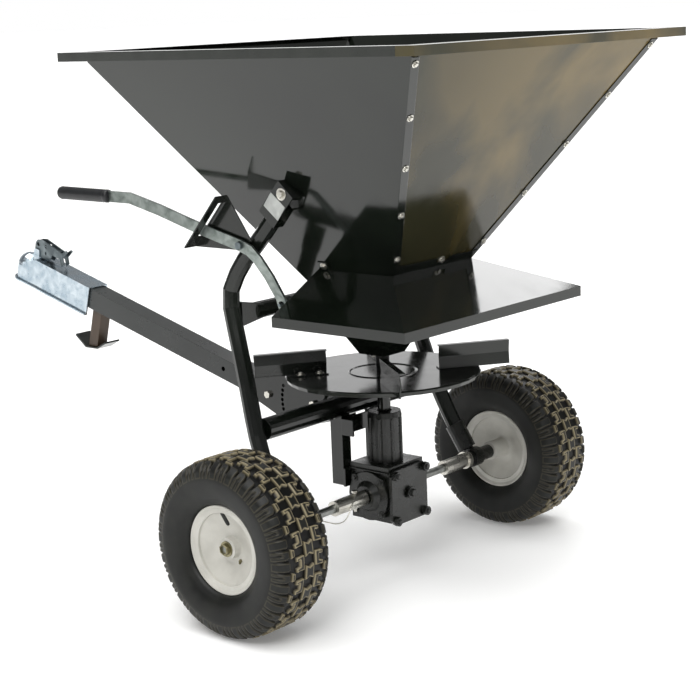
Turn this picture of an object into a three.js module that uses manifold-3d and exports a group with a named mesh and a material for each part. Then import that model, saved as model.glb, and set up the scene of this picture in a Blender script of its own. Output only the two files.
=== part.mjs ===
// Tow-behind broadcast spreader. Millimetres, +Z up, +Y towards the tow bar, +X to the right.
// While it is built, the zero point is on the ground under the middle of the axle. The last lines
// move the whole machine so that its zero point is the bottom centre of its bounding box.
import * as THREE from "three";
import { mergeVertices } from "three/addons/utils/BufferGeometryUtils.js";
import Module from "manifold-3d";

const wasm = await Module();
wasm.setup();

// Driving dimensions
const GAP = 0.3;

const TYRE_RADIUS = 190.5;
const WHEEL_X = 470;
const AXLE_Z = TYRE_RADIUS;
const AXLE_RADIUS = 9.5;

const HOPPER_Y = -11;
const HOPPER_TOP_Z = 1193;
const HOPPER_BOTTOM_Z = 609;
const SHEET = 2;
const RIM_HALF_X = 471;
const RIM_HALF_Y = 485;
const RIM_WIDTH = 43;
const RIM_LIP = 19;
const SEAM_WIDTH = 24;
const FLOOR_Z = 560;

const SHIELD_HALF_X = 312;
const SHIELD_REAR_Y = -322;
const SHIELD_FRONT_Y = 36;
const SHIELD_EDGE_Z = 635;
const SHIELD_ROOT_Z = 710;
const SHIELD_LIP = 22;
const SHIELD_ROOT_FRONT_Y = 54;

const DISC_Z = 465;
const DISC_RADIUS = 219;
const BLADE_INNER = 121;
const BLADE_OUTER = 285;
const BLADE_OFFSET = 37;
const BLADE_HEIGHT = 54;
const FIRST_BLADE_ANGLE = -36;

const LEG_RADIUS = 19;
const LEG_FOOT_X = 328;
const LEG_LEAN = 0.1;
const CROSS_TUBE_RADIUS = 24;

const HITCH_Y = 185;
const HITCH_Z = 370.5;
const TONGUE_PITCH = 15.6;
const TONGUE_SIZE = 50.8;
const TONGUE_DROP = -31.7;
const TONGUE_REAR = 120;
const TONGUE_FRONT = 930;

const LEVER_X = -303;
const LEVER_Y = 124;
const LEVER_Z = 780;

// Finishes
const finish = (color, roughness, metalness) => new THREE.MeshStandardMaterial({ color, roughness, metalness });
const blackPaint = finish(0x23271f, 0.25, 0.1);
const castIron = finish(0x1d1f1b, 0.55, 0.2);
const zinc = finish(0xa9b4b6, 0.3, 0.9);
const steel = finish(0x9aa09c, 0.35, 0.9);
const rubber = finish(0x1b1b1a, 0.85, 0);
const rimPaint = finish(0xcfccc2, 0.45, 0);
const gripRubber = finish(0x161616, 0.7, 0);

const spreader = new THREE.Group();

function add(name, geometry, material, parent = spreader) {
  const mesh = new THREE.Mesh(geometry, material);
  mesh.name = name;
  parent.add(mesh);
  return mesh;
}

// Solids: joining and cutting
function toSolid(geometry) {
  const bare = new THREE.BufferGeometry();
  const source = geometry.index ? geometry.toNonIndexed() : geometry;
  bare.setAttribute("position", source.getAttribute("position"));
  const merged = mergeVertices(bare, 1e-4);
  return new wasm.Manifold(
    new wasm.Mesh({
      numProp: 3,
      vertProperties: merged.attributes.position.array,
      triVerts: new Uint32Array(merged.index.array),
    }),
  );
}

function toGeometry(solid) {
  const mesh = solid.getMesh();
  const geometry = new THREE.BufferGeometry();
  geometry.setAttribute("position", new THREE.BufferAttribute(mesh.vertProperties, 3));
  geometry.setIndex(new THREE.BufferAttribute(mesh.triVerts, 1));
  return geometry;
}

function join(...parts) {
  return toGeometry(parts.map(toSolid).reduce((sum, part) => sum.add(part)));
}

function cut(body, ...tools) {
  return toGeometry(tools.map(toSolid).reduce((rest, tool) => rest.subtract(tool), toSolid(body)));
}

// Basic shapes, each given by its real limits
function box(x0, x1, y0, y1, z0, z1) {
  const geometry = new THREE.BoxGeometry(x1 - x0, y1 - y0, z1 - z0);
  return geometry.translate((x0 + x1) / 2, (y0 + y1) / 2, (z0 + z1) / 2);
}

function rod(from, to, radius, sides = 16, endRadius = radius) {
  const start = new THREE.Vector3(...from);
  const end = new THREE.Vector3(...to);
  const along = end.clone().sub(start);
  const geometry = new THREE.CylinderGeometry(endRadius, radius, along.length(), sides);
  const turn = new THREE.Quaternion().setFromUnitVectors(new THREE.Vector3(0, 1, 0), along.normalize());
  const middle = start.add(end).multiplyScalar(0.5);
  return geometry.applyQuaternion(turn).translate(middle.x, middle.y, middle.z);
}

// A six-sided block between a rectangle at z0 and a rectangle at z1, each [x low, x high, y low, y high].
function taper(z0, low, z1, high) {
  const ring = ([xa, xb, ya, yb], z) => [
    [xa, ya, z],
    [xb, ya, z],
    [xb, yb, z],
    [xa, yb, z],
  ];
  return stacked([ring(low, z0), ring(high, z1)]);
}

// A closed block through a stack of matching convex outlines.
function stacked(rings) {
  const count = rings[0].length;
  const last = count * (rings.length - 1);
  const index = [];
  for (let i = 1; i < count - 1; i++) {
    index.push(0, i + 1, i);
    index.push(last, last + i, last + i + 1);
  }
  for (let k = 0; k < last; k += count) {
    for (let i = 0; i < count; i++) {
      const next = (i + 1) % count;
      index.push(k + i, k + next, k + count + next);
      index.push(k + i, k + count + next, k + count + i);
    }
  }
  const geometry = new THREE.BufferGeometry();
  geometry.setAttribute("position", new THREE.Float32BufferAttribute(rings.flat(2), 3));
  geometry.setIndex(index);
  return geometry;
}

function outline(points) {
  return new THREE.Shape(points.map(([u, v]) => new THREE.Vector2(u, v)));
}

function roundHole(u, v, radius, sides = 12) {
  const hole = new THREE.Path();
  const points = [];
  for (let i = 0; i < sides; i++) {
    const angle = (2 * Math.PI * i) / sides;
    points.push(new THREE.Vector2(u + radius * Math.cos(angle), v + radius * Math.sin(angle)));
  }
  return hole.setFromPoints(points);
}

function extrude(shape, depth, holes = []) {
  shape.holes.push(...holes);
  return new THREE.ExtrudeGeometry(shape, { depth, bevelEnabled: false, curveSegments: 6 });
}

// A plate drawn in (y, z) and x0 to x1 thick.
function sidePlate(points, x0, x1, holes = []) {
  const geometry = extrude(outline(points), x1 - x0, holes);
  const turn = new THREE.Matrix4().set(0, 0, 1, x0, 1, 0, 0, 0, 0, 1, 0, 0, 0, 0, 0, 1);
  return geometry.applyMatrix4(turn);
}

// A plate drawn in (x, z) and y0 to y1 thick.
function frontPlate(points, y0, y1, holes = []) {
  const geometry = extrude(outline(points), y1 - y0, holes);
  const turn = new THREE.Matrix4().set(1, 0, 0, 0, 0, 0, -1, y1, 0, 1, 0, 0, 0, 0, 0, 1);
  return geometry.applyMatrix4(turn);
}

// A solid of revolution about the Y axis of its profile, turned to lie along X.
function turned(profile, sides) {
  const points = profile.map(([radius, along]) => new THREE.Vector2(radius, along));
  const geometry = new THREE.LatheGeometry(points, sides, 0, 2 * Math.PI);
  return geometry.rotateZ(-Math.PI / 2);
}

function turnedUpright(profile, sides) {
  const points = profile.map(([radius, along]) => new THREE.Vector2(radius, along));
  return new THREE.LatheGeometry(points, sides, 0, 2 * Math.PI).rotateX(Math.PI / 2);
}

function tubeAlong(points, radius, wall, sides, steps) {
  const curve = new THREE.CatmullRomCurve3(points.map((p) => new THREE.Vector3(...p)), false, "centripetal");
  const ring = (r) =>
    Array.from({ length: sides }, (_, i) => {
      const angle = (2 * Math.PI * i) / sides;
      return new THREE.Vector2(r * Math.cos(angle), r * Math.sin(angle));
    });
  const shape = new THREE.Shape(ring(radius));
  if (wall > 0) shape.holes.push(new THREE.Path(ring(radius - wall)));
  return new THREE.ExtrudeGeometry(shape, { steps, extrudePath: curve, curveSegments: 1 });
}

function bolt(from, to, radius, headRadius, headLength) {
  const start = new THREE.Vector3(...from);
  const end = new THREE.Vector3(...to);
  const out = start.clone().sub(end).normalize().multiplyScalar(headLength);
  const head = start.clone().add(out);
  const tail = end.clone().sub(out);
  return join(
    rod(from, to, radius, 12),
    rod(head.toArray(), from, headRadius, 6),
    rod(to, tail.toArray(), headRadius, 6),
  );
}

// Hopper: four sheets that slope in to the floor, with a rim folded out and down.
const hopperHalfX = (z) => 150.2 + 0.6245 * (z - 729.3);
const hopperHalfY = (z) => 150.2 + 0.657 * (z - 729.3);

function hopperSidePanel(side) {
  const at = (z, inner, outer, endY) => {
    const near = hopperHalfX(z) - inner;
    const far = hopperHalfX(z) - outer;
    const reach = hopperHalfY(z) + endY;
    const xs = side < 0 ? [-near, -far] : [far, near];
    return [...xs, HOPPER_Y - reach, HOPPER_Y + reach];
  };
  const sheet = taper(
    HOPPER_BOTTOM_Z,
    at(HOPPER_BOTTOM_Z, 0, SHEET * 1.2, SHEET + GAP),
    HOPPER_TOP_Z,
    at(HOPPER_TOP_Z, 0, SHEET * 1.2, SHEET + GAP),
  );
  const seam = (end) => {
    const strip = (z) => {
      const corner = hopperHalfX(z);
      const xs = side < 0 ? [-corner, -corner + SEAM_WIDTH] : [corner - SEAM_WIDTH, corner];
      const face = hopperHalfY(z);
      const ys = end < 0 ? [-face - SHEET - GAP, -face - GAP] : [face + GAP, face + SHEET + GAP];
      return [...xs, HOPPER_Y + ys[0], HOPPER_Y + ys[1]];
    };
    const seamTop = HOPPER_TOP_Z - RIM_LIP - 4;
    return taper(HOPPER_BOTTOM_Z + 2, strip(HOPPER_BOTTOM_Z + 2), seamTop, strip(seamTop));
  };
  const rimInner = hopperHalfX(HOPPER_TOP_Z) - SHEET * 1.2;
  const xs = (a, b) => (side < 0 ? [-b, -a] : [a, b]);
  const rimEnd = RIM_HALF_Y - RIM_WIDTH - GAP;
  const rimTop = box(
    ...xs(rimInner, RIM_HALF_X),
    HOPPER_Y - rimEnd,
    HOPPER_Y + rimEnd,
    HOPPER_TOP_Z - SHEET,
    HOPPER_TOP_Z,
  );
  const rimLip = box(
    ...xs(RIM_HALF_X - SHEET, RIM_HALF_X),
    HOPPER_Y - rimEnd,
    HOPPER_Y + rimEnd,
    HOPPER_TOP_Z - RIM_LIP,
    HOPPER_TOP_Z,
  );
  const endCuts = [-1, 1].map((end) => {
    const y0 = HOPPER_Y + end * rimEnd;
    const y1 = HOPPER_Y + end * (RIM_HALF_Y + 20);
    return box(-600, 600, Math.min(y0, y1), Math.max(y0, y1), HOPPER_TOP_Z - RIM_LIP - 3, HOPPER_TOP_Z + 5);
  });
  return cut(join(sheet, rimTop, rimLip, seam(-1), seam(1)), ...endCuts);
}

function hopperEndPanel(end) {
  const at = (z) => {
    const reach = hopperHalfX(z) - SHEET * 1.2 - GAP;
    const near = hopperHalfY(z);
    const far = near - SHEET * 1.2;
    const ys = end < 0 ? [-near, -far] : [far, near];
    return [-reach, reach, HOPPER_Y + ys[0], HOPPER_Y + ys[1]];
  };
  const sheet = taper(HOPPER_BOTTOM_Z, at(HOPPER_BOTTOM_Z), HOPPER_TOP_Z - 0.5, at(HOPPER_TOP_Z - 0.5));
  const rimInner = RIM_HALF_Y - RIM_WIDTH;
  const ys = (a, b) => (end < 0 ? [HOPPER_Y - b, HOPPER_Y - a] : [HOPPER_Y + a, HOPPER_Y + b]);
  const rimTop = box(-RIM_HALF_X, RIM_HALF_X, ...ys(rimInner, RIM_HALF_Y), HOPPER_TOP_Z - SHEET, HOPPER_TOP_Z);
  const rimLip = box(
    -RIM_HALF_X,
    RIM_HALF_X,
    ...ys(RIM_HALF_Y - SHEET, RIM_HALF_Y),
    HOPPER_TOP_Z - RIM_LIP,
    HOPPER_TOP_Z,
  );
  const ends = [-1, 1].map((side) => {
    const x0 = side * (RIM_HALF_X - SHEET);
    const x1 = side * RIM_HALF_X;
    return box(
      Math.min(x0, x1),
      Math.max(x0, x1),
      ...ys(rimInner, RIM_HALF_Y),
      HOPPER_TOP_Z - RIM_LIP,
      HOPPER_TOP_Z,
    );
  });
  const sheetTop = hopperHalfX(HOPPER_TOP_Z) - SHEET * 1.2 - GAP;
  const bridge = box(
    -sheetTop,
    sheetTop,
    ...ys(hopperHalfY(HOPPER_TOP_Z) - SHEET * 1.2, rimInner + 1),
    HOPPER_TOP_Z - SHEET,
    HOPPER_TOP_Z,
  );
  return join(sheet, rimTop, rimLip, ...ends, bridge);
}

add("hopper_left_panel", hopperSidePanel(-1), blackPaint);
add("hopper_right_panel", hopperSidePanel(1), blackPaint);
add("hopper_rear_panel", hopperEndPanel(-1), blackPaint);
add("hopper_front_panel", hopperEndPanel(1), blackPaint);

// Floor box inside the lower ends of the panels, with the shaft hole and the port that the gate covers.
const FLOOR_HALF_X = 71.5;
const FLOOR_HALF_Y = 67.5;
const PORT_HALF_X = 35;
const PORT_Y = [14, 56];

function square(z0, z1, halfX, halfY) {
  return box(-halfX, halfX, HOPPER_Y - halfY, HOPPER_Y + halfY, z0, z1);
}

const floorBox = cut(
  square(FLOOR_Z, 612, FLOOR_HALF_X, FLOOR_HALF_Y),
  square(FLOOR_Z + 2.5, 620, FLOOR_HALF_X - SHEET, FLOOR_HALF_Y - SHEET),
  rod([0, 0, FLOOR_Z - 5], [0, 0, FLOOR_Z + 10], 11, 16),
  box(-PORT_HALF_X, PORT_HALF_X, ...PORT_Y, FLOOR_Z - 5, FLOOR_Z + 10),
);
add("hopper_floor", floorBox, blackPaint);

// Drop funnel under the gate, with two spacer bars that guide the gate.
const FUNNEL_TOP_Z = FLOOR_Z - 5;
const FUNNEL_BOTTOM_Z = 507;
const GATE_HALF_X = 50;
const funnel = (z0, half0, z1, half1) => taper(z0, [-half0, half0, -half0, half0], z1, [-half1, half1, -half1, half1]);
const dropFunnel = cut(
  join(
    square(FUNNEL_TOP_Z - 2.5, FUNNEL_TOP_Z, FLOOR_HALF_X, FLOOR_HALF_Y + 3),
    funnel(FUNNEL_BOTTOM_Z, 36, FUNNEL_TOP_Z - 1, 60.5),
    box(-FLOOR_HALF_X, -GATE_HALF_X - 1, -78, 58, FUNNEL_TOP_Z - 1, FLOOR_Z - GAP),
    box(GATE_HALF_X + 1, FLOOR_HALF_X, -78, 58, FUNNEL_TOP_Z - 1, FLOOR_Z - GAP),
  ),
  funnel(FUNNEL_BOTTOM_Z - 5, 31.7, FUNNEL_TOP_Z + 2, 59.8),
);
add("drop_funnel", dropFunnel, blackPaint);

// Slide gate: a flat plate whose window comes under the port as it moves forward.
const gatePlate = cut(
  join(
    box(-GATE_HALF_X, GATE_HALF_X, -92, 80, FLOOR_Z - 4, FLOOR_Z - 1),
    box(-50, -34, 77, 80, FLOOR_Z - 4, FLOOR_Z + 20),
  ),
  box(-PORT_HALF_X - 1, PORT_HALF_X + 1, -75, 15, FLOOR_Z - 10, FLOOR_Z + 10),
  rod([-42, 70, FLOOR_Z + 12], [-42, 90, FLOOR_Z + 12], 4.5, 12),
);
add("gate_plate", gatePlate, zinc);

// Deflector shield: one folded sheet, sloping on three sides and open at the front, with a turned-down
// lip, an upstand against the hopper's rear and a tab against each side.
const rectangle = (z, xa, xb, ya, yb) => [
  [xa, ya, z],
  [xb, ya, z],
  [xb, yb, z],
  [xa, yb, z],
];
const seamClear = SHEET + 2 * GAP;
const rootX = hopperHalfX(SHIELD_ROOT_Z) + GAP + 2.2;
const rootY = HOPPER_Y - hopperHalfY(SHIELD_ROOT_Z) - seamClear - 2.2;
const lipBottom = SHIELD_EDGE_Z - SHIELD_LIP;
const hood = stacked([
  rectangle(lipBottom, -SHIELD_HALF_X, SHIELD_HALF_X, SHIELD_REAR_Y, SHIELD_FRONT_Y),
  rectangle(SHIELD_EDGE_Z, -SHIELD_HALF_X, SHIELD_HALF_X, SHIELD_REAR_Y, SHIELD_FRONT_Y),
  rectangle(SHIELD_ROOT_Z, -rootX, rootX, rootY, SHIELD_ROOT_FRONT_Y),
]);
const under = SHIELD_HALF_X - SHEET;
const underHood = stacked([
  rectangle(lipBottom - 10, -under, under, SHIELD_REAR_Y + SHEET, 300),
  rectangle(SHIELD_EDGE_Z - 1.3, -under, under, SHIELD_REAR_Y + SHEET, 300),
  rectangle(SHIELD_ROOT_Z - 2.2, -rootX, rootX, rootY, 300),
]);
const hopperRoom = (z) => {
  const halfX = hopperHalfX(z) + GAP;
  return rectangle(z, -halfX, halfX, HOPPER_Y - hopperHalfY(z) - seamClear, 300);
};
const rearUpstand = (z) => {
  const halfX = hopperHalfX(z) - 6;
  const face = HOPPER_Y - hopperHalfY(z) - seamClear;
  return rectangle(z, -halfX, halfX, face - 2.2, face);
};
const sideTab = (side) => (z) => {
  const near = hopperHalfX(z) + GAP;
  return rectangle(z, ...(side < 0 ? [-near - 2.2, -near] : [near, near + 2.2]), 16, 46);
};
const upright = (section) => stacked([section(SHIELD_ROOT_Z - 1.5), section(SHIELD_ROOT_Z + 19)]);
const shieldSheet = cut(hood, underHood, stacked([hopperRoom(600), hopperRoom(750)]));
const shieldNotch = box(0, 44, -200, -140, SHIELD_ROOT_Z + 9, SHIELD_ROOT_Z + 25);
add(
  "deflector_shield",
  cut(join(shieldSheet, upright(rearUpstand), upright(sideTab(-1)), upright(sideTab(1))), shieldNotch),
  blackPaint,
);

// Frame: two bent legs that lean in towards the hopper.
const legX = (z) => LEG_FOOT_X - LEG_LEAN * (z - 200);
const LEG_BENDS = [
  [28, 224],
  [40.5, 246],
  [53, 268],
  [84, 336],
  [101, 379],
  [130, 477],
  [163, 582],
  [181, 640],
  [182, 677],
  [148, 738],
  [101, 788],
  [66, 829],
  [33, 866],
];
const crossTubeY = 99;
const crossTubeZ = 379;
const upperTubeY = 176;
const upperTubeZ = 622;

for (const side of [-1, 1]) {
  const hand = side < 0 ? "left" : "right";
  const path = LEG_BENDS.map(([y, z]) => [side * legX(z), y, z]);
  add(`${hand}_leg`, tubeAlong(path, LEG_RADIUS, 2.5, 12, 18), blackPaint);

  const socketTop = [side * legX(266), 51.9, 266];
  const socketFoot = [side * legX(209), 19.5, 209];
  const bracket = cut(
    join(
      rod(socketFoot, socketTop, 23, 16),
      rod([side * 304, 0, AXLE_Z], [side * 386, 0, AXLE_Z], 17, 20),
      rod([side * 312, 0, AXLE_Z], [side * 342, 0, AXLE_Z], 23, 20),
      rod([side * 327, 0, AXLE_Z], [side * 327, 20, 211], 14, 12),
    ),
    rod([side * legX(223.5), 27.7, 223.5], [side * legX(276), 57.6, 276], LEG_RADIUS + 0.9, 20),
    rod([side * 290, 0, AXLE_Z], [side * 400, 0, AXLE_Z], AXLE_RADIUS + 1, 20),
  );
  add(`${hand}_axle_bracket`, bracket, castIron);

  // Hopper bracket: a channel over the top of the leg, closed against the hopper side.
  const top = LEG_BENDS.at(-1);
  const along = [LEG_BENDS.at(-1)[0] - LEG_BENDS.at(-2)[0], LEG_BENDS.at(-1)[1] - LEG_BENDS.at(-2)[1]];
  const size = Math.hypot(...along);
  const [dy, dz] = [along[0] / size, along[1] / size];
  const place = (s, w) => [top[0] + dy * s - dz * w, top[1] + dz * s + dy * w];
  const frame = (s0, s1, w) => [place(s0, w), place(s0, -w), place(s1, -w), place(s1, w)];
  const web = legX(816) + LEG_RADIUS + 3.2;
  const xs = (a, b) => (side < 0 ? [-b, -a] : [a, b]);
  const cover = join(
    sidePlate(frame(-40, 10, 26), ...xs(web - 30, web)),
    sidePlate(frame(8, 48, 26), ...xs(120, web)),
  );
  const hollow = sidePlate(frame(-60, 45.5, 23.5), ...xs(100, web - 2.5));
  const openSides = sidePlate(frame(12, 45.5, 40), ...xs(100, web - 2.5));
  const hopperSide = taper(
    700,
    side < 0 ? [-hopperHalfX(700) - 1, 0, -400, 400] : [0, hopperHalfX(700) + 1, -400, 400],
    1100,
    side < 0 ? [-hopperHalfX(1100) - 1, 0, -400, 400] : [0, hopperHalfX(1100) + 1, -400, 400],
  );
  const boltAt = place(30, 0);
  const boltHole = rod([side * 200, ...boltAt], [side * 330, ...boltAt], 5.5, 12);
  add(`${hand}_hopper_bracket`, cut(cover, hollow, openSides, hopperSide, boltHole), blackPaint);
}

// Cross tubes: the lower one joins the legs above the gearbox, the upper one has flattened ends.
function betweenLegs(y, z, radius) {
  const inner = legX(z) - LEG_RADIUS - 2.3;
  return rod([-inner, y, z], [inner, y, z], radius, 18);
}
add("lower_cross_tube", betweenLegs(crossTubeY, crossTubeZ, CROSS_TUBE_RADIUS), blackPaint);
const upperReach = legX(upperTubeZ) - LEG_RADIUS - 3.4;
const flatEnd = (side) => {
  const x0 = side * (upperReach - 60);
  const x1 = side * upperReach;
  return stacked([
    [
      [x0, upperTubeY - 15, upperTubeZ - 15],
      [x0, upperTubeY + 15, upperTubeZ - 15],
      [x0, upperTubeY + 15, upperTubeZ + 15],
      [x0, upperTubeY - 15, upperTubeZ + 15],
    ],
    [
      [x1, upperTubeY - 7, upperTubeZ - 27],
      [x1, upperTubeY + 7, upperTubeZ - 27],
      [x1, upperTubeY + 7, upperTubeZ + 27],
      [x1, upperTubeY - 7, upperTubeZ + 27],
    ],
  ]);
};
const facingOut = (geometry) => {
  const solid = toSolid(geometry);
  if (solid.volume() > 0) return geometry;
  const index = geometry.index.array;
  for (let i = 0; i < index.length; i += 3) {
    const swap = index[i + 1];
    index[i + 1] = index[i + 2];
    index[i + 2] = swap;
  }
  return geometry;
};
add(
  "upper_cross_tube",
  join(
    rod([-upperReach + 40, upperTubeY, upperTubeZ], [upperReach - 40, upperTubeY, upperTubeZ], 19, 16),
    facingOut(flatEnd(-1)),
    facingOut(flatEnd(1)),
  ),
  blackPaint,
);

// Gearbox carriers: two channels down from the lower cross tube, a mounting plate and a neck brace.
const HANGER_X = 60;
for (const side of [-1, 1]) {
  const hand = side < 0 ? "left" : "right";
  const outer = box(side * HANGER_X - 14, side * HANGER_X + 14, 64, 98, 207, crossTubeZ - 10);
  const inner = box(side * HANGER_X - 11, side * HANGER_X + 11, 67, 110, 200, 400);
  const saddle = rod([-200, crossTubeY, crossTubeZ], [200, crossTubeY, crossTubeZ], CROSS_TUBE_RADIUS + 0.5, 18);
  add(`${hand}_hanger`, cut(outer, inner, saddle), blackPaint);
}
add("gearbox_mount_plate", box(-76, 76, 57.6, 63.6, 205, 247), blackPaint);
const neckBrace = cut(
  box(-76, 76, 30, 63.6, 325, 362),
  box(-71, 71, 20, 58.6, 320, 370),
  rod([0, 0, 300], [0, 0, 400], 39.6, 24),
);
add("neck_brace", neckBrace, blackPaint);

// Hitch bracket: welded to the cross tube, round-ended about the hitch pivot.
const hitchArc = [];
for (let degrees = -48; degrees <= 12; degrees += 6) {
  const angle = THREE.MathUtils.degToRad(degrees);
  hitchArc.push([HITCH_Y + 112 * Math.cos(angle), HITCH_Z + 112 * Math.sin(angle)]);
}
const bracketOutline = [[106, 345], [200, 318], ...hitchArc.slice(2), [190, 398], [106, 396]];
const LOCK_ANGLE = THREE.MathUtils.degToRad(TONGUE_PITCH - 28.7);
const lockPoint = [HITCH_Y + 100 * Math.cos(LOCK_ANGLE), HITCH_Z + 100 * Math.sin(LOCK_ANGLE)];
const hitchBracket = cut(
  sidePlate(bracketOutline, -24, 24, [roundHole(HITCH_Y, HITCH_Z, 6.6), roundHole(...lockPoint, 5.6)]),
  box(-20, 20, 129, 320, 300, 388),
  rod([-60, crossTubeY, crossTubeZ], [60, crossTubeY, crossTubeZ], CROSS_TUBE_RADIUS + 0.5, 18),
);
add("hitch_bracket", hitchBracket, blackPaint);

// Tow bar group: everything that tilts about the hitch pivot. Its own Y runs along the tongue.
const towBar = new THREE.Group();
towBar.position.set(0, HITCH_Y, HITCH_Z);
towBar.rotation.x = THREE.MathUtils.degToRad(TONGUE_PITCH);
spreader.add(towBar);

const plateOutline = [
  [185, 12],
  [192, -15],
  [173, -61],
  [105, -70],
  [64, -56],
  [6, -16],
  [-18, 8],
  [-27, 30],
  [-17, 52],
  [20, 58],
  [120, 30],
];
const arcHoles = [];
for (let i = 0; i < 6; i++) {
  const angle = THREE.MathUtils.degToRad(-28.7 + 6.5 * i);
  arcHoles.push([100 * Math.cos(angle), 100 * Math.sin(angle)]);
}
const TONGUE_BOLT = [140, TONGUE_DROP];
for (const side of [-1, 1]) {
  const hand = side < 0 ? "left" : "right";
  const xs = side < 0 ? [-31, -26] : [26, 31];
  const holes = [
    roundHole(0, 0, 6.6),
    roundHole(...TONGUE_BOLT, 5.6),
    ...arcHoles.map(([s, t]) => roundHole(s, t, 4.6, 10)),
  ];
  add(`${hand}_hitch_plate`, sidePlate(plateOutline, ...xs, holes), blackPaint, towBar);
}
const half = TONGUE_SIZE / 2;
const tongueTube = cut(
  box(-half, half, TONGUE_REAR, TONGUE_FRONT, TONGUE_DROP - half, TONGUE_DROP + half),
  box(-half + 3, half - 3, TONGUE_REAR - 5, TONGUE_FRONT + 5, TONGUE_DROP - half + 3, TONGUE_DROP + half - 3),
  rod([-40, ...TONGUE_BOLT], [40, ...TONGUE_BOLT], 5.6, 12),
  rod([-40, 300, TONGUE_DROP], [40, 300, TONGUE_DROP], 6, 12),
);
add("tongue_tube", tongueTube, blackPaint, towBar);

add("hitch_pivot_bolt", bolt([-31.4, 0, 0], [31.4, 0, 0], 6, 10, 8), zinc, towBar);
add("hitch_tongue_bolt", bolt([-31.4, ...TONGUE_BOLT], [31.4, ...TONGUE_BOLT], 5, 9, 7), zinc, towBar);
// Ball coupler: a folded channel over the tongue with a domed ball socket.
const COUPLER_TOP = TONGUE_DROP + half + 4;
const COUPLER_REAR = 797;
const BALL_S = 1068;
const LATCH_PIVOT = [1034, 12];
function latchEar(x) {
  const foot = COUPLER_TOP - 14;
  const ear = [
    [1020, foot],
    [1046, foot],
    [1044, 20],
    [1025, 20],
  ];
  return sidePlate(ear, x, x + 2.7);
}
const couplerNose = stacked([
  [
    [-31, 1016, -75],
    [-31, 1016, COUPLER_TOP],
    [31, 1016, COUPLER_TOP],
    [31, 1016, -75],
  ],
  [
    [-32.5, BALL_S - 4, -75],
    [-32.5, BALL_S - 4, -24],
    [32.5, BALL_S - 4, -24],
    [32.5, BALL_S - 4, -75],
  ],
]);
const couplerBody = cut(
  join(
    box(-31, 31, COUPLER_REAR, 1018, -75, COUPLER_TOP),
    couplerNose,
    rod([0, BALL_S, -76], [0, BALL_S, -36], 33, 24),
    new THREE.SphereGeometry(33, 24, 12).translate(0, BALL_S, -36),
    box(-37, 37, COUPLER_REAR, BALL_S, -78, -74),
    rod([0, BALL_S, -78], [0, BALL_S, -74], 39, 24),
    latchEar(-13.4),
    latchEar(10.7),
  ),
  box(-27, 27, COUPLER_REAR - 5, 1020, -90, COUPLER_TOP - 3),
  box(-27, 27, 1000, BALL_S, -90, -26),
  rod([0, BALL_S, -90], [0, BALL_S, -40], 28.5, 24),
  new THREE.SphereGeometry(28.5, 24, 12).translate(0, BALL_S, -40),
  rod([0, 1000, COUPLER_TOP - 10], [0, 1000, COUPLER_TOP + 10], 7, 12),
);
const latchPin = rod([-13, ...LATCH_PIVOT], [13, ...LATCH_PIVOT], 4.1, 12);
add("coupler_body", join(couplerBody, latchPin), zinc, towBar);
const jaw = cut(
  box(-15, 15, 1006, 1040, -66, -36),
  new THREE.SphereGeometry(28, 20, 10).translate(0, BALL_S, -40),
);
add("coupler_ball_clamp", join(jaw, rod([0, 1000 + 8, -40], [0, 1000 + 8, -28], 5, 12)), steel, towBar);

// Coupler latch: a pressed lever with lightening holes and a hooked trigger, hinged at its front.
const latchOutline = [
  [1040, 1],
  [1046, 12],
  [1046, 34],
  [1040, 44],
  [1022, 49],
  [940, 38],
  [924, 52],
  [918, 49],
  [933, 28],
  [926, 12],
  [934, 3],
  [944, 20],
  [975, 22],
  [985, 1],
];
const latch = cut(
  sidePlate(latchOutline, -10, 10, [
    roundHole(1035, 33, 5.5),
    roundHole(...LATCH_PIVOT, 4.5),
    roundHole(1004, 36, 5),
    roundHole(1002, 18, 4),
  ]),
  box(-7, 7, 900, 1041, -5, 60),
);
const latchTop = box(-9, 9, 955, 1034, 34, 37);
add("coupler_latch", join(latch, latchTop), steel, towBar);

// Parking stand: a channel square to the tongue on a ski-shaped foot whose sole is level.
towBar.updateMatrix();
const STAND_S = 772;
const SOLE_Z = 421.5;
const tongueBottom = TONGUE_DROP - half;
const standPost = cut(
  box(-16, 16, STAND_S - 16, STAND_S + 16, tongueBottom - 116, tongueBottom - GAP),
  box(-13, 13, STAND_S - 13, STAND_S + 13, tongueBottom - 120, tongueBottom - 6),
).applyMatrix4(towBar.matrix);
add("stand_post", cut(standPost, box(-40, 40, 850, 1080, 380, SOLE_Z + 4.4)), blackPaint);
const footOutline = [
  [912, SOLE_Z + 17],
  [946, SOLE_Z],
  [992, SOLE_Z],
  [1030, SOLE_Z + 29],
  [1027, SOLE_Z + 33],
  [990, SOLE_Z + 4],
  [948, SOLE_Z + 4],
  [914, SOLE_Z + 21],
];
add("stand_foot", sidePlate(footOutline, -24, 24), blackPaint);

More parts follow.
